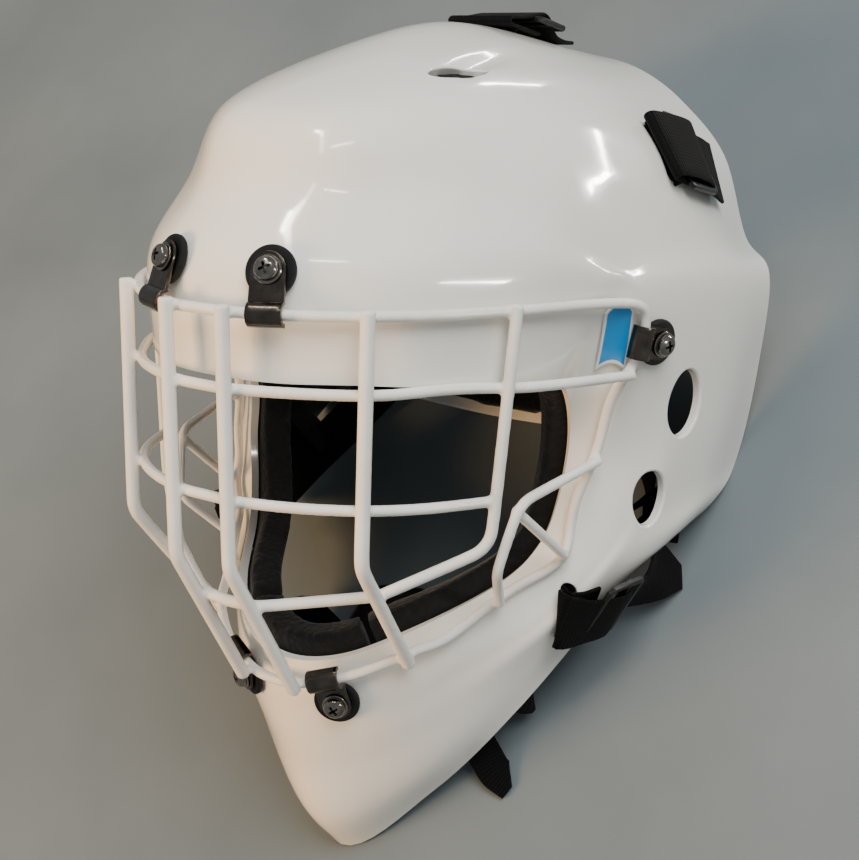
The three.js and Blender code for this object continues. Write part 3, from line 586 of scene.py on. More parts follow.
def onSurface(matrix, x, y, height):
    # a point over the shell, reached straight down from the seat's frame
    start = matrix @ Vector((x * mm, y * mm, 0.03))
    down = (matrix.to_3x3() @ Vector((0, 0, -1))).normalized()
    hit, normal, index, distance = shellTree.ray_cast(start, down)
    if hit is None:
        return matrix @ Vector((x * mm, y * mm, height * mm))
    return hit + normal * height * mm


def ovalOutline(size, grow):
    across, high = size[0] / 2 + grow, size[1] / 2 + grow
    angles = [2 * math.pi * k / 56 for k in range(56)]
    return [(across * math.cos(a), high * math.sin(a)) for a in angles]


def slotOutline(size, grow):
    # a slot with round ends, long in x, grown by an offset
    length, width = size
    radius, end = width / 2 + grow, max(length - width, 0) / 2
    angles = [2 * math.pi * (k + 0.5) / 48 for k in range(48)]
    return [(math.copysign(end, math.cos(a)) + radius * math.cos(a), radius * math.sin(a)) for a in angles]


def uprightSlot(size, grow):
    return [(-y, x) for x, y in slotOutline(size, grow)]


def holeCutter(matrix, outline, size, edge):
    # a plug through the wall that flares out over the surface, to round the hole's edge
    levels = [(1.5, edge * 0.86)]
    for angle in (math.radians(degrees) for degrees in (12, 30, 48, 66, 90)):
        levels.append((-edge * (1 - math.cos(angle)), edge * (1 - math.sin(angle))))
    levels.append((-shellLook["cutDepth"], 0))
    rings = [[onSurface(matrix, x, y, height) for x, y in outline(size, grow)] for height, grow in levels]
    cutter = ringsPiece("cutter", rings, flipped=True)
    cutter.data.materials.append(finishes["gelcoat"])
    return cutter


crownPlace, crownSize = shellLook["crownSlot"]
cutters = [holeCutter(seatOf(*crownPlace), slotOutline, crownSize, shellLook["slotEdge"])]
for side, sign, onSide in sides:
    for (ringAt, out), size in shellLook["ears"]:
        cutters.append(holeCutter(seatOf(onSide(ringAt), out), ovalOutline, size, shellLook["earEdge"]))
    (ringAt, out), size = shellLook["vent"]
    seat = seatOf(onSide(ringAt), out, 0, sign * shellLook["ventTurn"])
    cutters.append(holeCutter(seat, ovalOutline, size, shellLook["ventEdge"]))
    (ringAt, out), size = shellLook["upperSlot"]
    seat = seatOf(onSide(ringAt), out, 0, sign * shellLook["upperTurn"])
    cutters.append(holeCutter(seat, uprightSlot, size, shellLook["slotEdge"]))
    (ringAt, out), size = shellLook["jawSlot"]
    cutters.append(holeCutter(seatOf(onSide(ringAt), out), uprightSlot, size, shellLook["slotEdge"]))
cutOut(shell, joined("cutter", cutters))
weighted = shell.modifiers.new("weighted", "WEIGHTED_NORMAL")
weighted.weight, weighted.keep_sharp = 80, True
finishPiece(shell, None, "shell", smooth=40)
applyAll(shell)
print("shell", len(shell.data.polygons), "faces")


# Cage: steel wire bent, welded where it crosses, and enamelled. Radii, bends and points in mm.
cageLook = {
    "bar": 2.8, "outerBar": 2.35, "wire": 2.15, "sides": 4, "bend": 14, "cheekBend": 12, "gap": 0.9,
    "voxel": 0.8, "smooth": 4,
    "inner": [(13, 0, -1), (13, 2.5, -97), (13, 39.5, -158)],
    "middle": [(57, 24, -1), (56, 23.5, -93), (48.6, 66, -146.5)],
    "outer": [(0, 16.5, -116), (13, 17.2, -115.5), (50, 42.5, -110.5), (82, 68.5, -92), (88, 70.5, -1)],
    "brow": [
        (0, 3.6, -31), (13, 4.4, -31), (34, 13, -31), (54, 27.5, -31.5), (71, 50, -32), (84, 73, -32.5),
        (96, 101, -33), (107, 129, -33),
    ],
    "mouth": [
        (0, 5, -71.8), (13, 5.8, -72), (34, 14, -72.5), (53.8, 27.2, -73), (69, 45, -73.5), (81, 67.5, -74),
    ],
    "rim": [
        (0, 3.9, -4), (13, 4.6, -4), (34, 13, -4), (54, 27.5, -4), (71, 49, -3.8), (84.6, 72.2, -3.6),
        (100.5, 109.5, -3.9), (107.5, 127, -5.5), (109, 132.5, -11.5), (107.3, 131, -26), (99, 127.5, -43),
        (93.5, 129, -65), (88.5, 122, -86), (86, 121.5, -106), (81, 116.5, -114), (71, 101.5, -122),
        (58, 80, -137), (51, 69, -140.5), (45, 61.5, -143.5), (31, 51, -150.5), (13, 44, -156),
        (0, 43, -157.5),
    ],
    "cheek": [(95, 128, -69), (86, 82, -77), (81, 75, -104), (71, 96, -125)],
    "brace": [(84.5, 81, -80), (88.5, 116, -107)],
}


def mirrored(points):
    return [(-x, y, z) for x, y, z in points]


def acrossMiddle(points):
    return list(reversed(points)) + mirrored(points[1:])


def tube(path, radius, closed):
    # round wire along a path of points in metres
    curve = bpy.data.curves.new("wire", "CURVE")
    curve.dimensions = "3D"
    curve.bevel_depth, curve.bevel_resolution = radius, cageLook["sides"]
    curve.use_fill_caps = True
    spline = curve.splines.new("POLY")
    spline.points.add(len(path) - 1)
    for point, at in zip(spline.points, path):
        point.co = (*at, 1)
    spline.use_cyclic_u = closed
    piece = bpy.data.objects.new("wire", curve)
    bpy.context.collection.objects.link(piece)
    choose(piece)
    bpy.ops.object.convert(target="MESH")
    piece = bpy.context.object
    piece.select_set(False)
    return piece


def bent(points, radius):
    # straight wire bent at its inner points, each bend an arc of six steps
    path = [points[0]]
    for before, corner, after in zip(points, points[1:], points[2:]):
        back, ahead = (before - corner).normalized(), (after - corner).normalized()
        half = back.angle(ahead) / 2
        most = min((before - corner).length, (after - corner).length) * 0.48
        reach = min(radius / math.tan(half), most)
        start, end = corner + back * reach, corner + ahead * reach
        for t in (k / 6 for k in range(7)):
            path.append(start * (1 - t) ** 2 + corner * 2 * t * (1 - t) + end * t * t)
    return path + [points[-1]]


def offShell(point, radius):
    # keep wire clear of the shell, but leave wire that stands beside its edge
    here, normal, index, distance = shellTree.find_nearest(point)
    height = (point - here).dot(normal)
    need = (radius + cageLook["gap"]) * mm
    beside = distance - abs(height) > 1.2 * mm
    return here + normal * need if distance < 12 * mm and height < need and not beside else point


def wireOf(points, radius, bend=0, closed=False):
    points = [onFloor(point) for point in points]
    if bend:
        corners = bent(points, bend * mm)
        path = [a.lerp(b, k / 4) for a, b in zip(corners, corners[1:]) for k in range(4)] + [corners[-1]]
    else:
        path = [passThrough(points, k / 8) for k in range(8 * (len(points) - 1) + 1)]
    path = softened([offShell(point, radius) for point in path], 3 if closed else 12)
    return tube(path[:-1] if closed else path, radius * mm, closed)


wires = []
for flip in (list, mirrored):
    wires.append(wireOf(flip(cageLook["inner"]), cageLook["bar"], cageLook["bend"]))
    wires.append(wireOf(flip(cageLook["middle"]), cageLook["bar"], cageLook["bend"]))
    wires.append(wireOf(flip(cageLook["cheek"]), cageLook["wire"], cageLook["cheekBend"]))
    wires.append(wireOf(flip(cageLook["brace"]), cageLook["wire"]))
wires.append(wireOf(acrossMiddle(cageLook["outer"]), cageLook["outerBar"], cageLook["bend"]))
wires.append(wireOf(acrossMiddle(cageLook["brow"]), cageLook["wire"]))
wires.append(wireOf(acrossMiddle(cageLook["mouth"]), cageLook["wire"]))
rim = cageLook["rim"]
wires.append(wireOf(rim + list(reversed(mirrored(rim[:-1]))), cageLook["wire"], closed=True))
cage = joined("cage_wire", wires)
weld(cage, cageLook["voxel"], cageLook["smooth"])
finishPiece(cage, finishes["enamel"], "cage", smooth=80)
print("cage", len(cage.data.polygons), "faces")


# Clips of bent strip, rubber washers and screws
clipLook = {
    "width": 13, "thickness": 1.5, "wrap": 0.95, "level": 3.0, "tip": 1.2, "edge": 0.35,
    # where each screw stands, round and out, and the place on the wire that its clip holds
    "seats": {
        "top": ((0.87, 1.05), (25.5, 9, -4)),
        "side": ((6.33, 2.15), (107.9, 131.6, -20.5)),
        "bottom": ((12.25, 0.98), (21.7, 47.1, -153.4)),
    },
}
# profiles are radius and height, turned round z
washerLook = {
    "profile": [
        (1.5, 0.3), (8.7, 0.3), (9.15, 0.6), (9.3, 1.1), (9.3, 2.0), (9.1, 2.45), (8.6, 2.7), (7.4, 2.55),
        (1.5, 2.5),
    ],
    "count": 56,
}
screwLook = {
    "profile": [
        (2.1, -3), (2.1, 4.75), (5.1, 4.75), (5.2, 4.9), (5.2, 5.3), (5.0, 5.5), (4.3, 5.55), (4.35, 6.4),
        (4.2, 7.1), (3.8, 7.7), (3.1, 8.15), (2.2, 8.4), (1.1, 8.5), (0.2, 8.52),
    ],
    "count": 48,
    "recess": {"half": (2.5, 0.55), "taper": (0.55, 0.7), "floor": 6.6, "top": 9, "turn": 20},
}


def latheOf(name, look):
    count = look["count"]
    angles = [2 * math.pi * k / count for k in range(count)]
    return ringsPiece(name, [
        [(radius * mm * math.cos(a), radius * mm * math.sin(a), height * mm) for a in angles]
        for radius, height in look["profile"]
    ])


def blockOutline(x0, x1, y0, y1, z):
    return [Vector(corner) * mm for corner in ((x0, y0, z), (x1, y0, z), (x1, y1, z), (x0, y1, z))]


washer = latheOf("washer", washerLook)
screw = latheOf("screw", screwLook)
recess = screwLook["recess"]
for turn in (0, 90):
    (x, y), (narrowX, narrowY) = recess["half"], recess["taper"]
    low = blockOutline(-x * narrowX, x * narrowX, -y * narrowY, y * narrowY, recess["floor"])
    cutter = ringsPiece("cutter", [low, blockOutline(-x, x, -y, y, recess["top"])])
    cutter.data.transform(Matrix.Rotation(math.radians(turn + recess["turn"]), 4, "Z"))
    cutOut(screw, cutter)


def clipOf(name, distance, wireHeight):
    # a J of strip steel: round end under the screw, flat run, and a hook over the wire
    half, tip = clipLook["width"] / 2, clipLook["tip"]
    level = clipLook["level"] + clipLook["thickness"] / 2
    wrap = cageLook["wire"] + clipLook["wrap"] + clipLook["thickness"] / 2
    foot = distance - wrap
    rise = max(level, wireHeight * 0.6)
    route = []
    for angle in (math.radians(degrees) for degrees in (4, 14, 26, 40, 56, 74, 90)):
        route.append((-half * math.cos(angle), level, max(half * math.sin(angle), tip)))
    route += [(0.15 * k * (foot - 2.2), level, half) for k in range(1, 6)]
    route += [(foot - 2.2, level, half), (foot - 0.9, level + (rise - level) * 0.25, half)]
    route.append((foot, rise, half))
    for angle in (math.radians(degrees) for degrees in range(165, -31, -15)):
        height = wireHeight + wrap * math.sin(angle)
        if height > tip:
            route.append((distance + wrap * math.cos(angle), height, half))
    rows = len(route) - 1

    def place(a, b):
        along, height, wide = route[int(b * rows + 0.5)]
        return Vector(((a * 2 - 1) * wide, along, height)) * mm

    piece = gridPiece(name, 8, rows, place)
    thicken(piece, clipLook["thickness"], 0)
    roundEdges(piece, clipLook["edge"], 2, 50)
    applyAll(piece)
    editMesh(piece, faceOutwards)
    return piece


for end, ((ringAt, out), held) in clipLook["seats"].items():
    for side, sign, onSide in sides:
        seat = seatOf(onSide(ringAt), out)
        origin, normal = seat.translation.copy(), Vector(seat.col[2][:3])
        reach = onFloor((held[0] * sign, held[1], held[2])) - origin
        wireHeight = reach.dot(normal)
        along = reach - normal * wireHeight
        y = along.normalized()
        seat = framed(y.cross(normal), y, normal, origin)
        name = end + "_" + side
        clip = clipOf("clip_" + name + "_steel", along.length / mm, wireHeight / mm)
        ring = copied(washer, "washer_" + name + "_rubber")
        head = copied(screw, "screw_" + name + "_steel")
        finishPiece(moved(clip, seat), finishes["clip"], "clip_" + name, smooth=35)
        finishPiece(moved(ring, seat), finishes["rubber"], "washer_" + name, smooth=40)
        finishPiece(moved(head, seat), finishes["screw"], "screw_" + name, smooth=30)
bpy.data.objects.remove(washer)
bpy.data.objects.remove(screw)
print("clips, washers and screws made")


# Label panel: bare, blue printing inside a white edge
panelLook = {
    "corners": [(6.22, 0.43), (6.5, 1), (6.12, 1.28), (5.75, 0.71)],  # round and out
    "height": 1.3, "thickness": 0.8, "columns": 24, "rows": 32, "sideEdge": 0.07, "endEdge": 0.04,
}


def panelPoint(a, b):
    (r0, o0), (r1, o1), (r2, o2), (r3, o3) = panelLook["corners"]
    ringAt = (r0 * (1 - a) + r1 * a) * (1 - b) + (r3 * (1 - a) + r2 * a) * b
    out = (o0 * (1 - a) + o1 * a) * (1 - b) + (o3 * (1 - a) + o2 * a) * b
    return onFloor(above(ringAt, out, panelLook["height"]))


panel = gridPiece("label_panel", panelLook["columns"], panelLook["rows"], panelPoint)
printed = panel.data.attributes.new("printed", "FLOAT", "POINT")
for index, value in enumerate(printed.data):
    row, column = divmod(index, panelLook["columns"] + 1)
    a, b = column / panelLook["columns"], row / panelLook["rows"]
    inside = min(a, 1 - a) > panelLook["sideEdge"] and min(b, 1 - b) > panelLook["endEdge"]
    value.value = 1 if inside else 0
thicken(panel, panelLook["thickness"], 0)
applyAll(panel)
finishPiece(panel, finishes["panel"], "label_plate", smooth=30)
print("label panel made")


# Backplate form and webbing. Places are round and out on the shell, or millimetres as worn.
plateLook = {
    "foot": (0, 220, -84), "lean": 27, "radius": 110, "high": 108, "wall": 2.5, "edge": 0.8,
    "half": 58, "taper": 5, "corner": 9, "cornerShare": 0.12,
}
strapLook = {
    # under is how deep webbing runs behind the slot; front, back and loops count from the slot
    "crown": {
        "width": 32, "ring": 0, "slope": 0, "slot": 4.42, "under": -8.5, "front": -5, "back": 20, "top": 4.6,
        "loops": [
            (2, 5.2), (8, 6.4), (15, 8.4), (21, 10.2), (25, 10.6), (28.5, 9), (31, 5), (36, 2.6), (44, 2),
            (52, 2.8),
        ],
        "slide": 25, "slideHeight": 5.4,
    },
    "upper": {
        "width": 34, "ring": 4.05, "slope": 0.45, "slot": 4.19, "under": -8.5, "front": -4, "back": 20,
        "top": 5.6,
        "loops": [(2, 6), (10, 6.4), (18, 6.4), (22, 5.8), (24.5, 4.4), (26, 3)],
        "tail": [(14, 3.6), (20, 3.8), (27, 3.6), (33, 2.8), (36, 2.6)], "tailAside": 0.1,
        "slide": 15, "slideHeight": 2.3, "slideTurn": 12,
    },
    "jaw": {
        "width": 25, "ring": 9.9, "slope": 0, "slot": 3, "under": -13, "front": -4.5, "back": 12, "top": 5.2,
        "loops": [(0, 6), (6, 7), (12, 8.8), (17, 9.8), (20, 9), (22.5, 6.8), (27, 5.4), (33, 6)],
        "slide": 17, "slideHeight": 5.4, "hang": 9.45,
    },
    "chin": {"width": 18, "looseWidth": 15, "looseRing": 11.5, "hang": 11},
}
webbingThickness = 1.6


def ribbonOf(name, stations, width, rounds, thick=webbingThickness, tail=None, step=1.5):
    # flat webbing through stations, each a point and the way its face looks, in metres;
    # tail narrows the last millimetres to a point
    points, looks = [], []
    for (here, face), (there, turn) in zip(stations, stations[1:]):
        count = max(int((there - here).length / (step * mm)), 2)
        for k in range(count):
            points.append(here.lerp(there, k / count))
            looks.append(face.lerp(turn, k / count))
    points.append(stations[-1][0])
    looks.append(stations[-1][1])
    points, looks = softened(points, rounds), softened(looks, rounds)
    lengths = [0]
    for a, b in zip(points, points[1:]):
        lengths.append(lengths[-1] + (b - a).length / mm)
    # the section: a flat top and bottom with thinner selvedges
    columns = [-0.5, -0.48, -0.36, -0.24, -0.12, 0, 0.12, 0.24, 0.36, 0.48, 0.5]
    top = [(c * width, thick / 2 * (0.4 if abs(c) == 0.5 else 1)) for c in columns]
    section = top + [(x, -z) for x, z in reversed(top)]
    rings = []
    for i, (point, look) in enumerate(zip(points, looks)):
        ahead = (points[min(i + 1, len(points) - 1)] - points[max(i - 1, 0)]).normalized()
        across = ahead.cross(look).normalized()
        out = across.cross(ahead)
        left = lengths[-1] - lengths[i]
        narrow = 1 if not tail or left > tail else 0.45 + 0.55 * left / tail
        shift = (1 - narrow) * width * 0.4
        rings.append([point + across * (x * narrow + shift) * mm + out * z * mm for x, z in section])
    piece = ringsPiece(name, rings)
    # the weave is laid out in millimetres, its back 40 mm beside its face
    layer = piece.data.uv_layers.new(name="weave")
    for loop in piece.data.loops:
        r, k = divmod(loop.vertex_index, len(section))
        layer.data[loop.index].uv = (section[k][0] + (40 if k >= len(top) else 0), lengths[r])
    return piece


def overShell(ringAt, out, height):
    return onFloor(above(ringAt, out, height)), turned(shellFacing(ringAt, out))


def underShell(ringAt, out, height):
    return onFloor(above(ringAt, out, height)), -turned(shellFacing(ringAt, out))


def free(point, face):
    return onFloor(point), turned(face).normalized()


def beyond(point, way, distance):
    # a worn point carried on along a way
    return onFloor(point + way * distance)


def rimWay(ringAt, near=4.9):
    # the way that the shell runs at its rear edge
    return (shellAt(ringAt, 5) - shellAt(ringAt, near)).normalized()


def plateAt(across, up, height):
    lean = math.radians(plateLook["lean"])
    rise = Vector((0, math.sin(lean), math.cos(lean)))
    back = Vector((0, math.cos(lean), -math.sin(lean)))
    angle = across / plateLook["radius"]
    reach = plateLook["radius"] + height
    deep = reach * math.cos(angle) - plateLook["radius"]
    return Vector(plateLook["foot"]) + rise * up + back * deep + Vector((reach * math.sin(angle), 0, 0))


def onPlate(across, up, height=1.8):
    face = (plateAt(across, 0, 1) - plateAt(across, 0, 0)).normalized()
    return onFloor(plateAt(across, up, plateLook["wall"] + height)), turned(-face)


def slotPlaces(look, onSide, aside=0.0):
    # a function that gives the place on the shell some millimetres behind a strap's slot
    def ringOf(out):
        return onSide(look["ring"] + aside + (out - 4.4) * look["slope"])

    def place(back):
        out = walk(ringOf(look["slot"]), look["slot"], back)
        return ringOf(out), out

    return place


def forwardAt(place, back, span):
    return (onFloor(above(*place(back - span), 0)) - onFloor(above(*place(back + span), 0))).normalized()


def throughSlot(place, look):
    # forward under the shell and up into the slot
    deep = look["under"]
    stations = [underShell(*place(28), deep), underShell(*place(10), deep), underShell(*place(2), deep + 1.4)]
    return stations + [(onFloor(above(*place(-1), -2)), forwardAt(place, 0, 3)), overShell(*place(1.4), 0.9)]


def foldedOver(place, look):
    # webbing that lies on the shell over its slot, folds at the front and goes back on top
    front, back, top = look["front"], look["back"], look["top"]
    forward = forwardAt(place, front, 2)
    risen = forward + turned(shellFacing(*place(front)))
    stations = [underShell(*place(d), 1.2) for d in (back, (back + front) / 2, front + 2)]
    stations.append((onFloor(above(*place(front - 0.6), 1.7)), forward))
    stations.append((onFloor(above(*place(front - 1.6), (top + 1.2) / 2)), forward))
    stations.append((onFloor(above(*place(front - 0.6), top - 0.4)), risen))
    stations.append(overShell(*place(front + 2), top))
    return stations + [overShell(*place(d), high) for d, high in look["loops"]]


def slideOf(name, width, matrix):
    # a three-bar slide of moulded plastic, its edges rounded; x runs along its bars
    wide, high, corner, thick = width / 2 + 4, 12, 2, 2.2
    outline = [(wide - corner, -high), (wide, -high + corner), (wide, high - corner), (wide - corner, high)]
    outline = [(-wide + corner, -high)] + outline
    outline += [(-wide + corner, high), (-wide, high - corner), (-wide, -high + corner)]
    piece = ringsPiece(name, [[Vector((x, y, z)) * mm for x, y in outline] for z in (0, thick)])
    x = width / 2 + 1.4
    for low in (-9.6, 1.6):
        cutOut(piece, ringsPiece("cutter", [blockOutline(-x, x, low, low + 8, z) for z in (-2, 5)]))
    roundEdges(piece, 0.7, 3, 40)
    applyAll(piece)
    return moved(piece, matrix)


def finishStrap(name, pieces, node):
    finishPiece(joined(name, pieces), finishes["webbing"], node, smooth=40)


def finishSlide(name, width, place, look, node, turn):
    ringAt, out = place(look["slide"])
    slide = slideOf(name, width, seatOf(ringAt, out, look["slideHeight"], turn))
    finishPiece(slide, finishes["acetal"], node, smooth=40)


# crown strap: up the backplate, in behind the crown, out of its slot and folded back
look = strapLook["crown"]
place = slotPlaces(look, lambda ringAt: ringAt)
web = ribbonOf("crown_webbing", [
    onPlate(0, 86), onPlate(0, 97), onPlate(0, 108, 2.6), onPlate(0, 116, 2.4),
    free((0, 266, 44), (0, -1, -0.2)), free((0, 243, 68), (0, -0.7, -0.7)), *throughSlot(place, look),
], look["width"] - 2, rounds=5)
fold = ribbonOf("crown_fold", foldedOver(place, look), look["width"], rounds=3)
finishStrap("crown_webbing", [web, fold], "crown_strap")
finishSlide("crown_slide", look["width"], place, look, "crown_buckle", 0)

for side, sign, onSide in sides:
    # upper strap, with a tail that comes out from under its folded patch
    look = strapLook["upper"]
    place = slotPlaces(look, onSide)
    web = ribbonOf("upper_webbing_" + side, [
        onPlate(sign * 30, 66, 2.4), onPlate(sign * 39, 76, 2.8), onPlate(sign * 49, 88, 4),
        free((sign * 66, 247, 16), (sign * -0.6, -0.8, 0)),
        free((sign * 77, 230, 33), (sign * -0.85, -0.4, -0.3)), *throughSlot(place, look),
    ], look["width"] - 3, rounds=5)
    fold = ribbonOf("upper_fold_" + side, foldedOver(place, look), look["width"] - 3, rounds=3)
    beside = slotPlaces(look, onSide, look["tailAside"])
    tail = [overShell(*beside(d), high) for d, high in look["tail"]]
    tail = ribbonOf("upper_tail_" + side, tail, look["width"] - 6, rounds=2)
    finishStrap("upper_webbing_" + side, [web, fold, tail], "upper_strap_" + side)
    turn = 90 - sign * look["slideTurn"]
    finishSlide("upper_slide_" + side, look["width"] - 6, place, look, "upper_buckle_" + side, turn)

    # lower strap, its pointed tail lifted off the rear edge, and a loop behind that edge
    look = strapLook["jaw"]
    place = slotPlaces(look, onSide)
    web = ribbonOf("lower_webbing_" + side, [
        onPlate(sign * 22, 33, 2.4), onPlate(sign * 35, 28, 2.8), onPlate(sign * 48, 24, 4),
        free((sign * 71, 214, -76), (sign * -0.7, -0.7, 0)),
        free((sign * 86, 201, -98), (sign * -0.85, -0.3, 0.2)),
        free((sign * 93, 184, -112), (sign * -0.9, -0.1, 0.2)), *throughSlot(place, look),
    ], look["width"] - 3, rounds=5)
    ringAt = onSide(look["ring"])
    rearward = rimWay(ringAt, 4.7)
    opened = turned(shellFacing(ringAt, 4.9)) * 0.5 + turned((sign * 0.5, -0.6, 0.4))
    opened = opened.normalized()
    fold = ribbonOf("lower_fold_" + side, foldedOver(place, look) + [
        (beyond(above(ringAt, 5, 7.5), rearward, 3), opened),
        (beyond(above(ringAt, 5, 11), rearward, 14), opened),
    ], look["width"], rounds=3, tail=10)
    ringAt = onSide(look["hang"])
    edge, outward = rimWay(ringAt), turned(shellFacing(ringAt, 4.9))
    loop = ribbonOf("lower_loop_" + side, [
        underShell(ringAt, 4.4, -11), (beyond(above(ringAt, 5, -8), edge, 4), outward),
        (beyond(above(ringAt, 5, -13), edge, 9), turned(edge)),
        (beyond(above(ringAt, 5, -19), edge, 5), -outward), underShell(ringAt, 4.6, -21),
    ], look["width"], rounds=3)
    finishStrap("lower_webbing_" + side, [web, fold, loop], "lower_strap_" + side)
    finishSlide("jaw_slide_" + side, look["width"], place, look, "jaw_buckle_" + side, 90)
print("straps and slides made")

# Chin strap: hangs from inside both sides of the jaw and lies on the floor under the cup
tilt = math.radians(rest["tilt"])
floorUp = Vector((0, -math.sin(tilt), math.cos(tilt)))


def onGround(x, y, height):
    # a worn point over the floor, from how far across and back it is
    z = (-rest["up"] - floorUp.y * y) / floorUp.z
    return onFloor(Vector((x, y, z)) + floorUp * height)


def chinHalf(sign, onSide):
    ringAt = onSide(strapLook["chin"]["hang"])
    edge = rimWay(ringAt)
    inward = turned(edge - shellFacing(ringAt, 4.9)).normalized()
    return [
        underShell(onSide(10.95), 3.5, -9), underShell(onSide(10.97), 4.3, -11),
        (beyond(above(ringAt, 5, -6), edge, 10), inward),
        free((sign * 63, 142, -176), (sign * -0.7, -0.5, 0.5)),
        (onGround(sign * 46, 143, 4.4), turned((sign * -0.3, -0.7, 0.6)).normalized()),
        (onGround(sign * 20, 144, 2.4), turned(floorUp)),
    ]


def looseEnd(side, sign, onSide):
    ringAt = onSide(strapLook["chin"]["looseRing"])
    under = turned(floorUp + shellFacing(ringAt, 4.9)).normalized()
    return ribbonOf("loose_end_" + side, [
        underShell(ringAt, 4.4, -9), (beyond(above(ringAt, 5, -8), rimWay(ringAt), 6), under),
        (onGround(sign * 59, 121, 4), turned(floorUp)), (onGround(sign * 68, 119, 1.4), turned(floorUp)),
    ], strapLook["chin"]["looseWidth"], rounds=3, tail=8)


chinRoute = chinHalf(*sides[0][1:]) + chinHalf(*sides[1][1:])[::-1]
chinWeb = ribbonOf("chin_webbing", chinRoute, strapLook["chin"]["width"], rounds=5)
finishStrap("chin_webbing", [chinWeb] + [looseEnd(*side) for side in sides], "chin_strap")

# Chin cup: moulded, thick in its middle, its ends turned up
cupLook = {"half": 37, "back": 144, "deep": 21, "taper": 6, "thick": 8, "thinner": 4, "lift": 3.2, "curl": 6}


def cupPoint(a, b):
    s, turn = a * 2 - 1, 2 * math.pi * b
    deep = cupLook["deep"] - cupLook["taper"] * abs(s) ** 3
    thick = (cupLook["thick"] - cupLook["thinner"] * s * s) / 2
    closing = max(min((1 - abs(s)) * 9, 1) ** 0.5, 0.25)
    x, y = math.cos(turn), math.sin(turn)
    y = math.copysign(abs(y) ** 0.6, y) if y else 0
    height = cupLook["lift"] + cupLook["curl"] * s * s + thick * (1 + y * closing)
    return onGround(cupLook["half"] * s, cupLook["back"] + deep * x * closing, height)


def closeCup(mesh):
    bmesh.ops.remove_doubles(mesh, verts=mesh.verts, dist=0.00003)
    bmesh.ops.holes_fill(mesh, edges=mesh.edges, sides=0)
    faceOutwards(mesh)


cup = gridPiece("chin_cup_moulded", 48, 40, cupPoint)
editMesh(cup, closeCup)
finishPiece(cup, finishes["acetal"], "chin_cup", smooth=50)
print("chin strap and cup made")


# Backplate: a curved sheet with rounded corners
def plateHalf(up):
    nearEnd = max(0, plateLook["cornerShare"] - min(up, 1 - up)) / plateLook["cornerShare"]
    return plateLook["half"] - plateLook["taper"] * up - plateLook["corner"] * nearEnd


def platePoint(a, b):
    return onFloor(plateAt((a * 2 - 1) * plateHalf(b), b * plateLook["high"], plateLook["wall"]))


def faceBack(mesh):
    faceOutwards(mesh)
    inward = onPlate(0, 54)[1]
    if sum(face.normal.dot(inward) for face in mesh.faces) > 0:
        bmesh.ops.reverse_faces(mesh, faces=mesh.faces)


plate = gridPiece("backplate_moulded", 60, 54, platePoint)
thicken(plate, plateLook["wall"], -1)
roundEdges(plate, plateLook["edge"], 3, 50)
editMesh(plate, faceBack)
applyAll(plate)
finishPiece(plate, finishes["plate"], "backplate", smooth=40)
print("backplate made")


# Liner pads: each a merged copy of its CAD pad, blown out a little by cloth simulation
padLook = {
    "voxel": 5, "jawVoxel": 4, "shrink": 0.6, "pressure": 4, "stiffness": 40, "frames": 20, "most": 1.0,
}
# the liner's rounded edge behind the face port's rim, joined to the pads: where it runs round
bandLook = {
    "spans": {
        "jaw_pad_left": (5.9, 11.5),
        "jaw_pad_right": (ringCount - 5.9, ringCount - 11.5),
        "chin_pad": (11.6, 14.4),
    },
    "out": 0.2, "inside": -11, "ahead": 4, "width": 13, "thick": 17, "steps": 24, "voxel": 1.8, "smooth": 8,
}


def portBand(first, last):
    stations = []
    for k in range(bandLook["steps"] + 1):
        ringAt = first + (last - first) * k / bandLook["steps"]
        facing = turned(shellAt(ringAt, 0) - shellAt(ringAt, 0.4)).normalized()
        here = onFloor(above(ringAt, bandLook["out"], bandLook["inside"]))
        stations.append((here + facing * bandLook["ahead"] * mm, facing))
    band = ribbonOf("port_band", stations, bandLook["width"], rounds=3, thick=bandLook["thick"], step=3)
    weld(band, bandLook["voxel"], bandLook["smooth"])
    return band


def mergeAndShrink(mesh):
    bmesh.ops.remove_doubles(mesh, verts=mesh.verts, dist=0.00005)
    faceOutwards(mesh)
    for vertex in mesh.verts:
        vertex.co -= vertex.normal * padLook["shrink"] * mm


def blowOut(pad):
    # no point moves further than the most
    cloth = pad.modifiers.new("cloth", "CLOTH")
    cloth.settings.use_pressure = True
    cloth.settings.uniform_pressure_force = padLook["pressure"]
    cloth.settings.effector_weights.gravity = 0
    cloth.settings.tension_stiffness = cloth.settings.compression_stiffness = padLook["stiffness"]
    cloth.point_cache.frame_start, cloth.point_cache.frame_end = 1, padLook["frames"]
    before = [vertex.co.copy() for vertex in pad.data.vertices]
    for step in range(1, padLook["frames"] + 1):
        bpy.context.scene.frame_set(step)
    applyAll(pad)
    for vertex, was in zip(pad.data.vertices, before):
        motion = vertex.co - was
        if motion.length > padLook["most"] * mm:
            vertex.co = was + motion.normalized() * padLook["most"] * mm
    bpy.context.scene.frame_set(1)


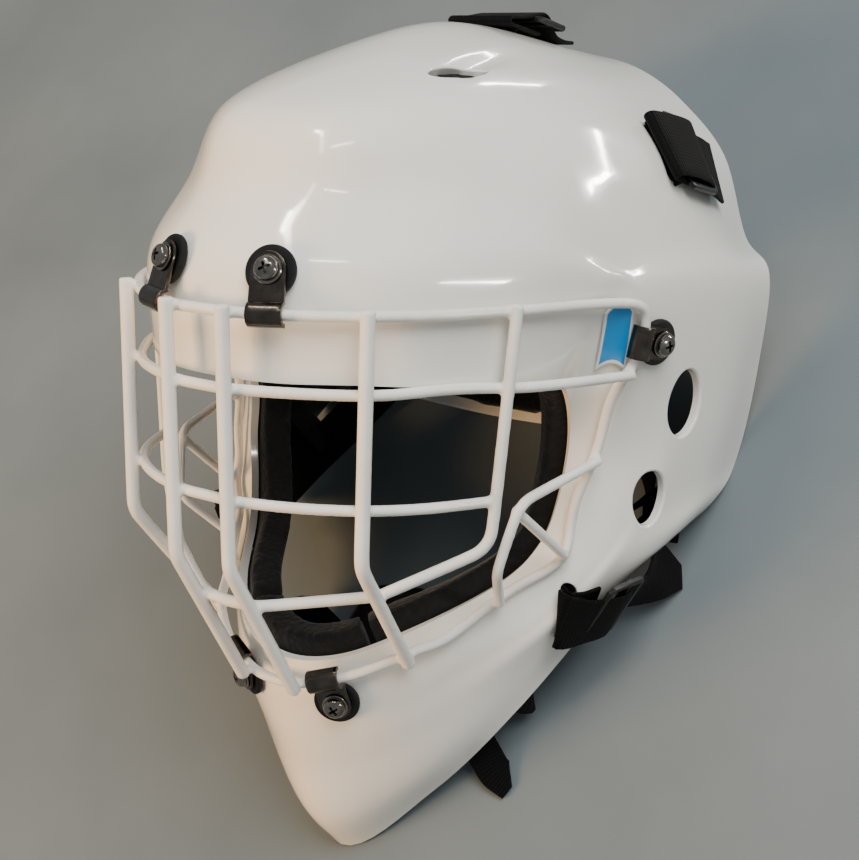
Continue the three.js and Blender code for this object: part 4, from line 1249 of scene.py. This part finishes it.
def padOf(node):
    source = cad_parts[node]
    pad = bpy.data.objects.new(node + "_soft", source.data.copy())
    bpy.context.collection.objects.link(pad)
    pad.data.transform(source.matrix_world)
    editMesh(pad, mergeAndShrink)
    remesh = pad.modifiers.new("even", "REMESH")
    remesh.mode = "VOXEL"
    remesh.voxel_size = padLook["jawVoxel" if node.startswith("jaw") else "voxel"] * mm
    applyAll(pad)
    blowOut(pad)
    finer = pad.modifiers.new("finer", "SUBSURF")
    finer.levels = finer.render_levels = 1
    applyAll(pad)
    if node in bandLook["spans"]:
        pad = joined(node + "_soft", [pad, portBand(*bandLook["spans"][node])])
    finishPiece(pad, finishes["foam"], node, smooth=80)


padded = ["forehead_pad", "crown_pad", "side_pad_left", "side_pad_right"]
for node in padded + ["jaw_pad_left", "jaw_pad_right", "chin_pad", "backplate_pad"]:
    padOf(node)
print("pads made")


# Floor, camera and light
bpy.ops.mesh.primitive_plane_add(size=6)
ground = bpy.context.object
ground.name = "ground"
ground.data.materials.append(finishes["concrete"])
ground.select_set(False)
ground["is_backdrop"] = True

# the camera's place and its axes, as worn
view = {
    "from": (321.6, -338.8, 72.1), "right": (0.832, 0.555, 0.026), "forward": (-0.533, 0.810, -0.246),
    "lens": 56.6, "sensor": 36,
}
camera = bpy.data.objects.new("camera", bpy.data.cameras.new("camera"))
bpy.context.collection.objects.link(camera)
ahead = turned(view["forward"]).normalized()
aside = turned(view["right"])
aside = (aside - ahead * aside.dot(ahead)).normalized()
camera.matrix_world = framed(aside, aside.cross(ahead), -ahead, onFloor(view["from"]))
camera.data.lens, camera.data.sensor_width = view["lens"], view["sensor"]
camera.data.sensor_fit = "HORIZONTAL"
camera.data.clip_start = 0.01
bpy.context.scene.camera = camera

# sizes and distances of lights are in metres; a strip runs along places on the shell, round
# and out, where the camera sees it mirrored
lightLook = {
    "world": ("#dfe6ea", 0.46),
    "soft": {
        "ceiling": {
            "place": (0.8, 0.6, 1.6), "aim": (0, 0, 0.1), "size": (1.3, 1.0), "watts": 44, "tint": "#f6f6f4",
        },
        "lamp": {
            "place": (-1.1, -1.3, 1.2), "aim": (0, 0, 0.12), "size": (0.9, 0.7), "watts": 56,
            "tint": "#ffcc8e",
        },
    },
    "strips": {
        "panelStrip": ([(3.6, 3.7), (4.1, 3.3), (4.45, 2.95), (4.8, 2.55)], 0.6, 0.012, 0.4),
        "browStrip": ([(2.95, 1.0), (3.35, 1.0), (3.75, 1.0)], 0.7, 0.02, 0.3),
        "browEnd": ([(4.15, 0.95), (4.75, 0.95)], 0.7, 0.02, 0.25),
        "crownStrip": ([(0.75, 1.6), (0.85, 1.88), (0.95, 2.15)], 1.0, 0.05, 0.4),
        "frontStrip": ([(1.3, 1.2), (1.75, 1.2)], 0.9, 0.02, 0.25),
        "ridgeStrip": ([(2.2, 3.45), (2.6, 3.65), (2.9, 3.9)], 0.9, 0.02, 0.2),
    },
    "stripTint": "#fff8ee", "stripSteps": 3,
}


def areaLight(name, place, aim, size, watts, tint, long=(1, 0, 0)):
    # a lamp that lights towards its aim, its first size along long
    light = bpy.data.objects.new(name, bpy.data.lights.new(name, "AREA"))
    bpy.context.collection.objects.link(light)
    light.data.shape = "RECTANGLE"
    light.data.size, light.data.size_y = size
    light.data.energy = watts
    light.data.color = colour(tint)[:3]
    z = (Vector(place) - Vector(aim)).normalized()
    x = Vector(long)
    x = (x - z * x.dot(z)).normalized()
    light.matrix_world = framed(x, z.cross(x), z, place)
    light.visible_camera = False
    return light


def stripLight(name, places, distance, width, watts):
    # thin lamps end to end, put where the camera's rays go after the shell mirrors them
    spots, steps = [], lightLook["stripSteps"]
    for share in range((len(places) - 1) * steps + 1):
        first = min(share // steps, len(places) - 2)
        (r0, o0), (r1, o1) = places[first : first + 2]
        part = share / steps - first
        ringAt, out = r0 + (r1 - r0) * part, o0 + (o1 - o0) * part
        here, normal = onFloor(shellAt(ringAt, out)), turned(shellFacing(ringAt, out))
        ray = (here - camera.location).normalized()
        spots.append((here, here + (ray - normal * 2 * ray.dot(normal)) * distance))
    for (here, spot), (there, nextSpot) in zip(spots, spots[1:]):
        span = nextSpot - spot
        middle, size = (spot + nextSpot) / 2, (span.length * 1.04, width)
        light = areaLight(name, middle, (here + there) / 2, size, watts, lightLook["stripTint"], span)
        light.visible_diffuse = False


world = bpy.data.worlds.new("room")
bpy.context.scene.world = world
world.use_nodes = True
background = world.node_tree.nodes["Background"]
tint, strength = lightLook["world"]
background.inputs["Color"].default_value = colour(tint)
background.inputs["Strength"].default_value = strength
for name, look in lightLook["soft"].items():
    areaLight(name, **look).visible_glossy = False
for name, strip in lightLook["strips"].items():
    stripLight(name, *strip)
print("floor, camera and lights made")

low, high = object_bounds()
